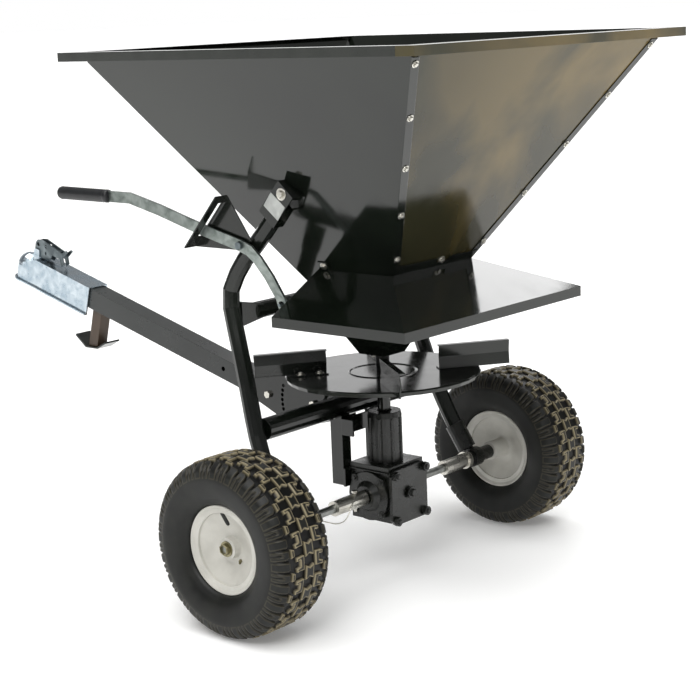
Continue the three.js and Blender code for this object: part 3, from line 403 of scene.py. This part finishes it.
def plated_steel(name, light, dark, roughness, grain=240.0):
    material = bpy.data.materials.new(name)
    material.use_nodes = True
    tree = material.node_tree
    shader = tree.nodes["Principled BSDF"]
    place = put(tree, "ShaderNodeTexCoord").outputs["Object"]
    # Passivation clouds are about 25 mm across, and the base steel's draw lines a few tenths.
    cloud = put(
        tree, "ShaderNodeTexNoise", {"Vector": place, "Scale": 40.0, "Detail": 4.0, "Distortion": 0.6},
    )
    colour = stops(
        put(tree, "ShaderNodeValToRGB", {"Fac": cloud.outputs["Fac"]}),
        (0.3, linear(dark)),
        (0.7, linear(light)),
    )
    tree.links.new(colour, shader.inputs["Base Color"])
    shader.inputs["Metallic"].default_value = 1.0
    wear = put(
        tree,
        "ShaderNodeMapRange",
        {
            "Value": cloud.outputs["Fac"],
            "From Min": 0.3,
            "From Max": 0.7,
            "To Min": roughness + 0.1,
            "To Max": roughness,
        },
    )
    tree.links.new(wear.outputs["Result"], shader.inputs["Roughness"])
    edge = put(tree, "ShaderNodeBevel", {"Radius": 0.0008})
    lines = put(tree, "ShaderNodeTexNoise", {"Vector": place, "Scale": grain, "Detail": 3.0})
    bump = put(
        tree,
        "ShaderNodeBump",
        {
            "Height": lines.outputs["Fac"],
            "Strength": 0.12,
            "Distance": 0.0003,
            "Normal": edge.outputs["Normal"],
        },
    )
    tree.links.new(bump.outputs["Normal"], shader.inputs["Normal"])
    return material


bright_zinc = plated_steel("bright zinc plate, clear passivated", "#DAD8D0", "#BEBBB2", 0.24)
blue_zinc = plated_steel("bright zinc plate, blue passivated", "#CBD5DC", "#9FB0BC", 0.2)
SEAM_BOLTS = 5
LOWEST_BOLT, HIGHEST_BOLT = 0.238, 0.94
seam_bolts = bmesh.new()
for hand, side in (("left", -1), ("right", 1)):
    for where, end in (("rear", -1), ("front", 1)):
        side_sheet = skin(f"hopper_{hand}_panel")
        seam = skin(f"hopper_{hand}_panel", f"hopper_{where}_panel")
        for i in range(SEAM_BOLTS):
            share = LOWEST_BOLT + (HIGHEST_BOLT - LOWEST_BOLT) * i / (SEAM_BOLTS - 1)
            height = hopper_low[2] + share * (hopper_high[2] - hopper_low[2])
            edge, _ = land(side_sheet, (side * 2, HOPPER_Y, height), (-side, 0, 0))
            place, outward = land(seam, (edge.x - side * SEAM_INSET, end * 3, height), (0, -end, 0))
            hexagon_bolt(seam_bolts, place, outward, 0.0085)
finish_piece("hopper_seam_bolts", seam_bolts, bright_zinc, "frame")

# Frame tubes, brackets and hitch plates: welded and pressed steel in the same black powder coat, a
# little less glossy than the sheets. The tow bar's square tube is a satin charcoal.
frame_black = powder_coat("black powder coat on tube", "#0A0D0A", "#151914", 0.12)
satin_charcoal = powder_coat("satin charcoal powder coat", "#202322", "#2E3130", 0.26)
dress(
    frame_black,
    "left_leg", "right_leg", "lower_cross_tube", "upper_cross_tube", "left_hopper_bracket",
    "right_hopper_bracket", "left_hanger", "right_hanger", "gearbox_mount_plate", "neck_brace",
    "hitch_bracket", "left_hitch_plate", "right_hitch_plate", "stand_foot", "lever_guide",
    crease=38,
)
dress(satin_charcoal, "tongue_tube")
stand_brown = powder_coat("brown iron-oxide primer", "#2A2018", "#453423", 0.35)
dress(stand_brown, "stand_post")

# Gearbox and axle brackets: sand-cast iron under black enamel, so the skin is grainy where it isn't
# machined, and edges are soft.
cast_enamel = bpy.data.materials.new("black enamel on sand-cast iron")
cast_enamel.use_nodes = True
cast_tree = cast_enamel.node_tree
cast_shader = cast_tree.nodes["Principled BSDF"]
cast_place = put(cast_tree, "ShaderNodeTexCoord").outputs["Object"]
cast_tone = put(cast_tree, "ShaderNodeTexNoise", {"Vector": cast_place, "Scale": 30.0, "Detail": 5.0})
cast_colour = stops(
    put(cast_tree, "ShaderNodeValToRGB", {"Fac": cast_tone.outputs["Fac"]}),
    (0.3, linear("#090B09")),
    (0.75, linear("#181A15")),
)
cast_tree.links.new(cast_colour, cast_shader.inputs["Base Color"])
cast_gloss = put(
    cast_tree,
    "ShaderNodeMapRange",
    {"Value": cast_tone.outputs["Fac"], "From Min": 0.3, "From Max": 0.7, "To Min": 0.2, "To Max": 0.38},
)
cast_tree.links.new(cast_gloss.outputs["Result"], cast_shader.inputs["Roughness"])
# Sand grain is drawn at 1.5 mm, coarser than the real 0.4 mm, so that it shows.
cast_edge = put(cast_tree, "ShaderNodeBevel", {"Radius": 0.0025})
cast_grain = put(cast_tree, "ShaderNodeTexNoise", {"Vector": cast_place, "Scale": 650.0, "Detail": 4.0})
cast_bump = put(
    cast_tree,
    "ShaderNodeBump",
    {
        "Height": cast_grain.outputs["Fac"],
        "Strength": 0.35,
        "Distance": 0.0008,
        "Normal": cast_edge.outputs["Normal"],
    },
)
cast_tree.links.new(cast_bump.outputs["Normal"], cast_shader.inputs["Normal"])
dress(
    cast_enamel,
    "left_axle_bracket", "right_axle_bracket", "gearbox_housing", "gearbox_rear_cover",
    "gearbox_left_cap", "gearbox_right_cap", "gearbox_neck",
)

# Gearbox fixings: cast bosses with black hexagon screws at the rear cover's corners, a level plug in
# its middle, and four screws in cast ears round each bearing cap.
cover_low, cover_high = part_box("gearbox_rear_cover")
box_low, box_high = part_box("gearbox_housing")
gear_bolts = bmesh.new()
for x in (cover_low[0] + 0.011, cover_high[0] - 0.011):
    for z in (cover_low[2] + 0.011, cover_high[2] - 0.011):
        boss = [(0, -0.004), (0.0108, -0.004), (0.0102, 0.0035), (0, 0.0035)]
        turn(gear_bolts, (x, cover_low[1] - 0.0002, z), (0, -1, 0), boss, 20)
        hexagon_bolt(gear_bolts, (x, cover_low[1] - 0.0036, z), (0, -1, 0), 0.0105, washer=False, spin=0.2)
hexagon_bolt(
    gear_bolts,
    ((box_low[0] + box_high[0]) / 2, cover_low[1] + 0.0008, AXLE_Z / 1000 + 0.004),
    (0, -1, 0),
    0.015,
)
for name, side in (("gearbox_left_cap", -1), ("gearbox_right_cap", 1)):
    cap_low, cap_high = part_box(name)
    cap_y, cap_z = (cap_low[1] + cap_high[1]) / 2, (cap_low[2] + cap_high[2]) / 2
    cap_radius = (cap_high[1] - cap_low[1]) / 2
    rim_x = max(abs(box_low[0]), abs(box_high[0])) + 0.001
    for k in range(4):
        angle = math.pi / 4 + k * math.pi / 2
        place = (
            side * rim_x,
            cap_y + 0.95 * cap_radius * math.cos(angle),
            cap_z + 0.95 * cap_radius * math.sin(angle),
        )
        ear = [(0, -0.006), (0.009, -0.006), (0.0085, 0.002), (0, 0.002)]
        turn(gear_bolts, place, (side, 0, 0), ear, 18)
        hexagon_bolt(gear_bolts, Vector(place) + Vector((side * 0.002, 0, 0)), (side, 0, 0), 0.0095, spin=0.1)
finish_piece("gearbox_screws", gear_bolts, cast_enamel, "frame")

# Tow coupler, latch, pins, sleeves, gate and lever: pressed or drawn steel, zinc plated. The lever is
# hot galvanised bar, greyer and more clouded than the plated parts.
dark_zinc = plated_steel("dull zinc plate", "#7F888B", "#565E61", 0.32)
galvanised = plated_steel("galvanised bar", "#9CA39F", "#6F7773", 0.36, grain=90.0)
dress(blue_zinc, "coupler_body")
dress(bright_zinc, "left_coupling_sleeve", "right_coupling_sleeve", "axle_lock_pin")
dress(
    dark_zinc,
    "coupler_latch", "coupler_ball_clamp", "lever_pivot_bolt", "gate_plate", "control_rod",
)
dress(bright_zinc, "hitch_pivot_bolt", "hitch_tongue_bolt")
dress(galvanised, "control_lever")

# Frame fixings: plated screws through the hopper brackets and the deflector's tabs and upstand, and a
# blank aluminium data plate on the near hopper bracket.
frame_bolts = bmesh.new()
_, shield_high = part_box("deflector_shield")
shield_tops = [v for v in corners("deflector_shield") if v.z > shield_high[2] - 0.001]
TAB_LENGTH = 0.03
for hand, side in (("left", -1), ("right", 1)):
    # A screw through the middle of the deflector's side tab.
    tab = [v.y for v in shield_tops if side * v.x > 0]
    middle_y = max(tab) - TAB_LENGTH / 2
    start = (side * 2, middle_y, shield_high[2] - 0.009)
    place, outward = land(skin("deflector_shield"), start, (-side, 0, 0))
    hexagon_bolt(frame_bolts, place, outward, 0.0095)
# One screw holds the rear upstand, in the notch in its top edge.
notch = [v.x for v in shield_tops if v.y < HOPPER_Y and abs(v.x) < 0.06]
start = (sum(notch) / len(notch), -3, shield_high[2] - 0.006)
place, outward = land(skin("deflector_shield", "hopper_rear_panel"), start, (0, 1, 0))
hexagon_bolt(frame_bolts, place, outward, 0.0105)

# Each hopper bracket's outer web takes a screw near its top, and the near one a blank plate below it.
plate_alloy = plated_steel("satin aluminium data plate", "#C9CBC8", "#ABAEAB", 0.42)
plate = bmesh.new()
PLATE_THICKNESS = 0.0009
for hand, side in (("left", -1), ("right", 1)):
    bracket_low, bracket_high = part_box(f"{hand}_hopper_bracket")
    web_x = side * max(abs(bracket_low[0]), abs(bracket_high[0]))
    web = [(v.y, v.z) for v in corners(f"{hand}_hopper_bracket") if abs(v.x - web_x) < 0.0005]
    middle, way, across, (half_length, half_width) = long_way(web)
    way = way if way.y > 0 else -way
    seat = middle + way * 0.62 * half_length
    hexagon_bolt(frame_bolts, (web_x, seat.x, seat.y), (side, 0, 0), 0.014)
    if side < 0:
        label = middle - way * 0.12 * half_length
        outline_points = [
            label + way * i * 0.4 * half_length + across * j * 0.86 * half_width
            for i, j in ((-1, -1), (1, -1), (1, 1), (-1, 1))
        ]
        lower, upper = (
            [plate.verts.new((web_x - lift, p.x, p.y)) for p in outline_points]
            for lift in (0.0, PLATE_THICKNESS)
        )
        plate.faces.new(lower)
        plate.faces.new(upper)
        for k in range(4):
            plate.faces.new((lower[k], lower[(k + 1) % 4], upper[(k + 1) % 4], upper[k]))
finish_piece("frame_fixings", frame_bolts, bright_zinc, "frame")
finish_piece("blank_data_plate", plate, plate_alloy, "frame")

# Blade fixings: two plated screws through the foot of each spinner blade into the disc.
blade_bolts = bmesh.new()
FOOT_THICKNESS = 0.0025
for i in range(1, 5):
    blade_low, blade_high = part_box(f"spinner_blade_{i}")
    points = corners(f"spinner_blade_{i}")
    rim_edge = [(v.x, v.y) for v in points if v.z > blade_high[2] - 0.0005]
    middle, way, across, _ = long_way(rim_edge)
    foot = [Vector(v[:2]) for v in points if abs(v.z - blade_low[2] - FOOT_THICKNESS) < 0.0005]
    waist = [Vector(v[:2]) for v in points if 0.02 < v.z - blade_low[2] < 0.035]
    web_line = sum(p.dot(across) for p in waist) / len(waist)
    tip_line = max((p.dot(across) for p in foot), key=lambda value: abs(value - web_line))
    toe = [p.dot(way) for p in foot if abs(p.dot(across) - tip_line) < 0.002]
    for share in (0.24, 0.76):
        along = min(toe) + share * (max(toe) - min(toe))
        seat = way * along + across * (web_line + 0.58 * (tip_line - web_line))
        hexagon_bolt(blade_bolts, (seat.x, seat.y, blade_low[2] + FOOT_THICKNESS), (0, 0, 1), 0.011)
finish_piece("spinner_blade_screws", blade_bolts, bright_zinc, "spinner")

# Bail of the axle pin: one loop of spring wire, from the pin's head down past the sleeve and back up
# to the half axle beyond the sleeve's end.
pin_low, pin_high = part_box("axle_lock_pin")
sleeve_low, sleeve_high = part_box("left_coupling_sleeve")
WIRE_RADIUS = 0.0014
BAIL_DROP = 0.021
head = Vector(((pin_low[0] + pin_high[0]) / 2, pin_low[1], pin_high[2] - 0.002))
elbow = Vector((sleeve_low[0] + 0.01, sleeve_low[1] - 0.003, sleeve_low[2] - BAIL_DROP))
catch = Vector((sleeve_low[0] - 0.055, AXLE_Y - 0.006, axle_low[2] - WIRE_RADIUS))
shoulder = Vector((head.x - 0.03, elbow.y, sleeve_high[2] - 0.012))
route = []
for a, b, c in (
    (head, shoulder, (shoulder + elbow) / 2), ((shoulder + elbow) / 2, elbow, (elbow + catch) / 2),
):
    route += [a * (1 - t) ** 2 + b * 2 * t * (1 - t) + c * t * t for t in (k / 6 for k in range(6))]
route += [(elbow + catch) / 2, catch]
wire = bmesh.new()
wire_rings = []
for k, place in enumerate(route):
    ahead = route[min(k + 1, len(route) - 1)] - route[max(k - 1, 0)]
    side_way = ahead.cross(Vector((0, 1, 0))).normalized()
    up_way = side_way.cross(ahead).normalized()
    turns = [2 * math.pi * i / 10 for i in range(10)]
    wire_rings.append([
        wire.verts.new(place + WIRE_RADIUS * (math.cos(a) * side_way + math.sin(a) * up_way)) for a in turns
    ])
for near, far in zip(wire_rings, wire_rings[1:]):
    for i in range(10):
        wire.faces.new((near[i], near[(i + 1) % 10], far[(i + 1) % 10], far[i]))
wire.faces.new(wire_rings[0][::-1])
wire.faces.new(wire_rings[-1])
finish_piece("axle_pin_bail", wire, bright_zinc, "axle", crease=60)

# Shafts and gears: bright drawn bar, turned, with fine lines round it and a film of oil.
drawn_steel = plated_steel("bright drawn steel, oiled", "#A7A9A6", "#7D7F7C", 0.28, grain=400.0)
dress(drawn_steel, "through_shaft", "left_half_axle", "right_half_axle", "drive_gear", "pinion", "agitator")

# Spinner: pressed disc and rolled channel blades in gloss black on a painted hub.
disc_black = powder_coat("gloss black powder coat on disc", "#1A1D1A", "#2A2D29", 0.12)
dress(disc_black, "spinner_disc", "spinner_blade_1", "spinner_blade_2", "spinner_blade_3", "spinner_blade_4")
dress(frame_black, "spinner_shaft")

# Wheels: turf tyres with rows of bow-tie and cup blocks, moulded in carbon-black rubber, on pressed
# steel rims in off-white enamel.
rubber = bpy.data.materials.new("carbon black tyre rubber")
rubber.use_nodes = True
rubber_tree = rubber.node_tree
rubber_shader = rubber_tree.nodes["Principled BSDF"]
rubber_place = put(rubber_tree, "ShaderNodeTexCoord").outputs["Object"]
rubber_dust = put(rubber_tree, "ShaderNodeTexNoise", {"Vector": rubber_place, "Scale": 26.0, "Detail": 6.0})
rubber_colour = stops(
    put(rubber_tree, "ShaderNodeValToRGB", {"Fac": rubber_dust.outputs["Fac"]}),
    (0.35, linear("#0B0C0A")),
    (0.7, linear("#191A16")),
)
# Field dust clings to the worn edges of the blocks, and the bottoms of the grooves are darkened with painted
# shade.
rubber_dust_and_shade = put(rubber_tree, "ShaderNodeSeparateColor", {"Color": put(
    rubber_tree, "ShaderNodeAttribute", attribute_name="wear").outputs["Color"]})
dusty_edge = put(
    rubber_tree,
    "ShaderNodeMix",
    {"Factor": rubber_dust_and_shade.outputs["Red"], "A": rubber_colour, "B": linear("#9A8F72")},
    data_type="RGBA",
)
# Painted shade: the groove bottoms are mixed to near-black.
groove_shaded = put(
    rubber_tree,
    "ShaderNodeMix",
    {"Factor": rubber_dust_and_shade.outputs["Green"], "A": dusty_edge.outputs["Result"], "B": linear("#070706")},
    data_type="RGBA",
)
rubber_tree.links.new(groove_shaded.outputs["Result"], rubber_shader.inputs["Base Color"])
rubber_shader.inputs["Roughness"].default_value = 0.46
rubber_shader.inputs["Specular IOR Level"].default_value = 0.32
rubber_skin = put(rubber_tree, "ShaderNodeTexNoise", {"Vector": rubber_place, "Scale": 500.0, "Detail": 3.0})
rubber_bump = put(
    rubber_tree, "ShaderNodeBump", {"Height": rubber_skin.outputs["Fac"], "Strength": 0.2, "Distance": 0.0005}
)
rubber_tree.links.new(rubber_bump.outputs["Normal"], rubber_shader.inputs["Normal"])

TREAD_PITCHES = 24
STEPS_PER_PITCH = 28
PITCH = math.pi * 381 / TREAD_PITCHES
TREAD_DEPTH = 0.0068


def step(low, high, value):
    t = min(max((value - low) / (high - low), 0.0), 1.0)
    return t * t * (3 - 2 * t)


def inside(point, corners):
    """Distance in millimetres into a closed outline, negative outside it."""
    x, y = point
    nearest = 1e9
    within = False
    for (ax, ay), (bx, by) in zip(corners, corners[1:] + corners[:1]):
        ex, ey = bx - ax, by - ay
        t = min(max(((x - ax) * ex + (y - ay) * ey) / (ex * ex + ey * ey), 0.0), 1.0)
        nearest = min(nearest, math.hypot(x - ax - t * ex, y - ay - t * ey))
        if (ay > y) != (by > y) and x < ax + (y - ay) / (by - ay) * ex:
            within = not within
    return nearest if within else -nearest


# Block outlines in millimetres, across the tread from its middle and along it: a bow tie, a cup open
# towards the shoulder, a short bar, and a forked shoulder lug.
BOW_TIE = [(-11.5, -17), (0, -11), (11.5, -17), (11.5, 16), (0, 10), (-11.5, 16)]
CUP = [(16.5, -16), (38, -14), (38, -5), (28, -7), (28, 6), (38, 8), (38, 17), (16.5, 15)]
BAR = [(42, -8), (50, -10), (50, 10), (42, 7)]
LUG = [(53, -9), (90, -9), (90, 11), (56, 11), (53, 7)]
FORKED_LUG = [(53, 16), (90, 16), (90, 23), (66, 23), (66, 27), (90, 27), (90, 36), (60, 36), (53, 31)]


def tread_block(across, along):
    """How far into a block a place is, in millimetres, and whether dust outlines that block."""
    reach = abs(across)
    best = (-9.0, 1.0)
    for corners, offset, dusty in (
        (BOW_TIE, 0.5, 1.0), (CUP, 0.0, 1.0), (BAR, 0.5, 0.8), (LUG, 0.0, 0.1), (FORKED_LUG, 0.0, 0.1)
    ):
        for turn_back in (-1, 0, 1):
            place = (across if corners is BOW_TIE else reach, along - (turn_back + offset) * PITCH)
            depth = inside(place, corners)
            if depth > best[0]:
                best = (depth, dusty)
    return best


# Radius and place across of the bare carcass from bead to shoulder, in metres from the wheel's centre.
SIDEWALL = [
    (0.0952, 0.0412), (0.0952, 0.0516), (0.0958, 0.0548), (0.0972, 0.0585), (0.1, 0.0622), (0.104, 0.0645),
    (0.106, 0.066), (0.11, 0.0692), (0.117, 0.0722), (0.125, 0.0743), (0.135, 0.0762), (0.144, 0.0772),
]
SHOULDER = [
    (0.15, 0.0775), (0.156, 0.0768), (0.161, 0.0752), (0.166, 0.0728), (0.1705, 0.0698), (0.174, 0.0662),
    (0.1768, 0.062), (0.179, 0.0575), (0.181, 0.0525), (0.1825, 0.047), (0.1835, 0.041), (0.1837, 0.03),
    (0.1837, 0.0),
]


def walk(points, spacing):
    """The same polyline with a point about every spacing, each with its distance left to the last one."""
    dense = []
    for (ra, xa), (rb, xb) in zip(points, points[1:]):
        count = max(1, round(math.hypot(rb - ra, xb - xa) / spacing))
        dense += [(ra + (rb - ra) * i / count, xa + (xb - xa) * i / count) for i in range(count)]
    dense.append(points[-1])
    left = 0.0
    spaced = [(*dense[-1], 0.0)]
    for (ra, xa), (rb, xb) in zip(reversed(dense[:-1]), reversed(dense[1:])):
        left += math.hypot(rb - ra, xb - xa)
        spaced.append((ra, xa, left))
    return spaced[::-1]


half_tread = walk(SHOULDER, 0.0021)
carcass = [(r, x, None) for r, x in SIDEWALL] + half_tread
carcass += [(r, -x, -d) for r, x, d in reversed(half_tread[:-1])]
carcass += [(r, -x, None) for r, x in reversed(SIDEWALL)]
pattern = []
for i in range(STEPS_PER_PITCH):
    column = []
    for radius, across, distance in carcass:
        if distance is None:
            column.append((0.0, 0.0, 0.0))
            continue
        depth, dusty = tread_block(distance * 1000, i * PITCH / STEPS_PER_PITCH)
        height = step(-0.6, 0.9, depth) * step(0.0, 0.014, 0.088 - abs(distance))
        outline_dust = step(-0.3, 0.6, depth) * (1 - step(1.9, 3.2, depth)) * dusty
        # Painted shade mask for the groove bottoms.
        groove_shade = (1 - step(-1.4, 0.0, depth)) * step(0.0, 0.01, 0.08 - abs(distance))
        column.append((height, outline_dust, groove_shade))
    pattern.append(column)
steps_round = TREAD_PITCHES * STEPS_PER_PITCH
for hand, side, body in (("left", -1, "axle"), ("right", 1, "right_wheel")):
    low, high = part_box(f"{hand}_tyre")
    hub = Vector(((low[0] + high[0]) / 2, AXLE_Y, AXLE_Z / 1000))
    points = []
    wear = []
    for i in range(steps_round):
        angle = 2 * math.pi * i / steps_round
        for (radius, across, distance), (height, dust, groove_shade) in zip(carcass, pattern[i % STEPS_PER_PITCH]):
            tilt = step(0.045, 0.078, abs(across)) * 1.25
            r = radius + TREAD_DEPTH * height * math.cos(tilt)
            x = across + math.copysign(TREAD_DEPTH * height * math.sin(tilt) * 0.3, across)
            x = min(max(x, -0.0783), 0.0783)
            points.append(hub + Vector((side * x, r * math.cos(angle), r * math.sin(angle))))
            wear.append((dust, groove_shade, 0.0, 1.0))
    count = len(carcass)
    faces = []
    for i in range(steps_round):
        a, b = i * count, (i + 1) % steps_round * count
        faces += [(a + k, b + k, b + (k + 1) % count, a + (k + 1) % count) for k in range(count)]
    tyre_mesh = bpy.data.meshes.new(f"{hand}_turf_tyre")
    tyre_mesh.from_pydata(points, [], faces)
    tyre = bmesh.new()
    tyre.from_mesh(tyre_mesh)
    tyre_piece = finish_piece(
        f"{hand}_turf_tyre", tyre, rubber, body, [f"{hand}_tyre"], crease=60,
    )
    bpy.data.meshes.remove(tyre_mesh)
    # The wear layer holds real dust in red and painted groove shade in green.
    layer = tyre_piece.data.attributes.new("wear", "FLOAT_COLOR", "POINT")
    layer.data.foreach_set("color", [v for colour in wear for v in colour])

olive_zinc = plated_steel("zinc plate, olive passivated", "#A39C7E", "#6D684F", 0.3)
enamel = bpy.data.materials.new("off-white enamel")
enamel.use_nodes = True
enamel_tree = enamel.node_tree
enamel_shader = enamel_tree.nodes["Principled BSDF"]
enamel_place = put(enamel_tree, "ShaderNodeTexCoord").outputs["Object"]
enamel_film = put(enamel_tree, "ShaderNodeTexNoise", {"Vector": enamel_place, "Scale": 18.0, "Detail": 6.0})
enamel_colour = stops(
    put(enamel_tree, "ShaderNodeValToRGB", {"Fac": enamel_film.outputs["Fac"]}),
    (0.3, linear("#B3B1A9")),
    (0.6, linear("#C6C4BC")),
)
enamel_tree.links.new(enamel_colour, enamel_shader.inputs["Base Color"])
enamel_gloss = put(
    enamel_tree,
    "ShaderNodeMapRange",
    {"Value": enamel_film.outputs["Fac"], "From Min": 0.3, "From Max": 0.7, "To Min": 0.45, "To Max": 0.3},
)
enamel_tree.links.new(enamel_gloss.outputs["Result"], enamel_shader.inputs["Roughness"])
enamel_peel = put(enamel_tree, "ShaderNodeTexNoise", {"Vector": enamel_place, "Scale": 300.0, "Detail": 2.0})
enamel_bump = put(
    enamel_tree,
    "ShaderNodeBump",
    {"Height": enamel_peel.outputs["Fac"], "Strength": 0.08, "Distance": 0.0004},
)
enamel_tree.links.new(enamel_bump.outputs["Normal"], enamel_shader.inputs["Normal"])

# Rim profile, radius and place across in metres, outer face positive: two dished halves, pressed and
# welded face to face round the hub tube, each with a narrow rolled bead flange.
DISH = [
    (0.0245, 0.0268), (0.03, 0.0262), (0.042, 0.029), (0.056, 0.0348), (0.066, 0.0396), (0.074, 0.0438),
    (0.081, 0.0482), (0.0862, 0.0517), (0.0895, 0.0543), (0.0912, 0.0558), (0.0932, 0.0562), (0.0946, 0.0553),
    (0.0947, 0.054), (0.0938, 0.0528), (0.089, 0.0518), (0.0775, 0.0505), (0.0765, 0.046),
]
HUB_OUTER = [(0.0105, 0.0438), (0.0205, 0.0438), (0.0222, 0.0425), (0.0225, 0.03)]
HUB_INNER = [(0.022, -0.03), (0.022, -0.0785), (0.0205, -0.0798), (0.0105, -0.0798), (0.0105, 0.0438)]
RIM = HUB_OUTER + DISH + [(r, -x) for r, x in reversed(DISH)] + HUB_INNER


def dish_depth(radius):
    for (ra, xa), (rb, xb) in zip(DISH, DISH[1:]):
        if ra <= radius <= rb:
            return xa + (xb - xa) * (radius - ra) / (rb - ra)
    return DISH[0][1]


for hand, side, body in (("left", -1, "axle"), ("right", 1, "right_wheel")):
    low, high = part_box(f"{hand}_tyre")
    hub = Vector(((low[0] + high[0]) / 2, AXLE_Y, AXLE_Z / 1000))
    rim = bmesh.new()
    turn(rim, hub, (side, 0, 0), RIM, 96)
    bmesh.ops.remove_doubles(rim, verts=rim.verts, dist=1e-6)
    finish_piece(f"{hand}_pressed_rim", rim, enamel, body, [f"{hand}_rim"], crease=50)

    # Rubber valve stem, lying in its pressed slot that runs out from the hub.
    spoke = Vector((0, 0.1, 0.995))
    across_spoke = Vector((0, 0.995, -0.1))
    valve = bmesh.new()
    sections = []
    for i in range(13):
        reach = 0.046 + 0.031 * i / 12
        end_gap = min(reach - 0.0459, 0.0771 - reach)
        half = 0.0062 * math.sqrt(max(0.02, min(1.0, end_gap / 0.0062) * (2 - min(1.0, end_gap / 0.0062))))
        rib = 0.0006 if i % 3 == 1 else 0.0
        foot = hub + spoke * reach + Vector((side * (dish_depth(reach) + 0.0003), 0, 0))
        sections.append([
            valve.verts.new(
                foot + across_spoke * half * math.cos(a) + Vector((side * (0.0026 + rib) * math.sin(a), 0, 0))
            )
            for a in (math.pi * k / 8 for k in range(9))
        ])
    for low_ring, high_ring in zip(sections, sections[1:]):
        for k in range(8):
            valve.faces.new((low_ring[k], low_ring[k + 1], high_ring[k + 1], high_ring[k]))
        valve.faces.new((low_ring[8], low_ring[0], high_ring[0], high_ring[8]))
    valve.faces.new(sections[0])
    valve.faces.new(sections[-1][::-1])
    finish_piece(f"{hand}_valve_stem", valve, rubber, body)

    # Hub end: an olive-plated washer, the axle's nut, and a grease nipple in the hub's web.
    washer = bmesh.new()
    end = hub + Vector((side * 0.0442, 0, 0))
    turn(
        washer,
        end,
        (side, 0, 0),
        [(0.0098, 0), (0.0165, 0), (0.0165, 0.002), (0.0098, 0.002), (0.0098, 0)],
        28,
    )
    nut_radius = 0.0128
    nut = [
        (0.0097, 0.0022),
        (nut_radius, 0.0022),
        (nut_radius, 0.0095),
        (0.0114, 0.0108),
        (0.0097, 0.0108),
        (0.0097, 0.0022),
    ]
    turn(washer, end, (side, 0, 0), nut, 6, 0.35)
    finish_piece(f"{hand}_hub_nut", washer, olive_zinc, body)
    nipple = bmesh.new()
    seat = hub + Vector((side * (dish_depth(0.034) - 0.0002), -0.021, -0.026))
    nipple_profile = [
        (0, 0),
        (0.0042, 0),
        (0.0042, 0.003),
        (0.0026, 0.0036),
        (0.0026, 0.0075),
        (0.0016, 0.0095),
        (0, 0.0095),
    ]
    turn(nipple, seat, (side, -0.5, -0.5), nipple_profile, 12)
    finish_piece(f"{hand}_grease_nipple", nipple, olive_zinc, body)

# Lever grip: a dipped vinyl sleeve over the end of the lever's bar, round-ended and faintly ribbed.
vinyl = bpy.data.materials.new("black dipped vinyl")
vinyl.use_nodes = True
vinyl_tree = vinyl.node_tree
vinyl_shader = vinyl_tree.nodes["Principled BSDF"]
vinyl_place = put(vinyl_tree, "ShaderNodeTexCoord").outputs["Object"]
vinyl_tone = put(vinyl_tree, "ShaderNodeTexNoise", {"Vector": vinyl_place, "Scale": 60.0, "Detail": 4.0})
vinyl_colour = stops(
    put(vinyl_tree, "ShaderNodeValToRGB", {"Fac": vinyl_tone.outputs["Fac"]}),
    (0.3, linear("#121315")),
    (0.7, linear("#1F2123")),
)
vinyl_tree.links.new(vinyl_colour, vinyl_shader.inputs["Base Color"])
vinyl_shader.inputs["Roughness"].default_value = 0.42
vinyl_bump = put(
    vinyl_tree, "ShaderNodeBump", {"Height": vinyl_tone.outputs["Fac"], "Strength": 0.15, "Distance": 0.0005}
)
vinyl_tree.links.new(vinyl_bump.outputs["Normal"], vinyl_shader.inputs["Normal"])
grip_low, grip_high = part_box("lever_grip")
grip_x = (grip_low[0] + grip_high[0]) / 2
grip_z = (grip_low[2] + grip_high[2]) / 2
grip_length = grip_high[1] - grip_low[1]
grip = bmesh.new()
grip_profile = [(0, 0), (0.0115, 0.0004), (0.0142, 0.003), (0.0152, 0.008)]
for i in range(40):
    grip_profile.append((0.0144 + 0.0006 * math.cos(i * math.pi), 0.012 + i * (grip_length - 0.024) / 39))
grip_profile += [
    (0.0152, grip_length - 0.008), (0.0138, grip_length - 0.0025), (0.0105, grip_length), (0, grip_length),
]
turn(grip, (grip_x, grip_low[1], grip_z - 0.0008), (0, 1, 0.0112), grip_profile, 32)
finish_piece("lever_vinyl_grip", grip, vinyl, "lever", ["lever_grip"], crease=60)
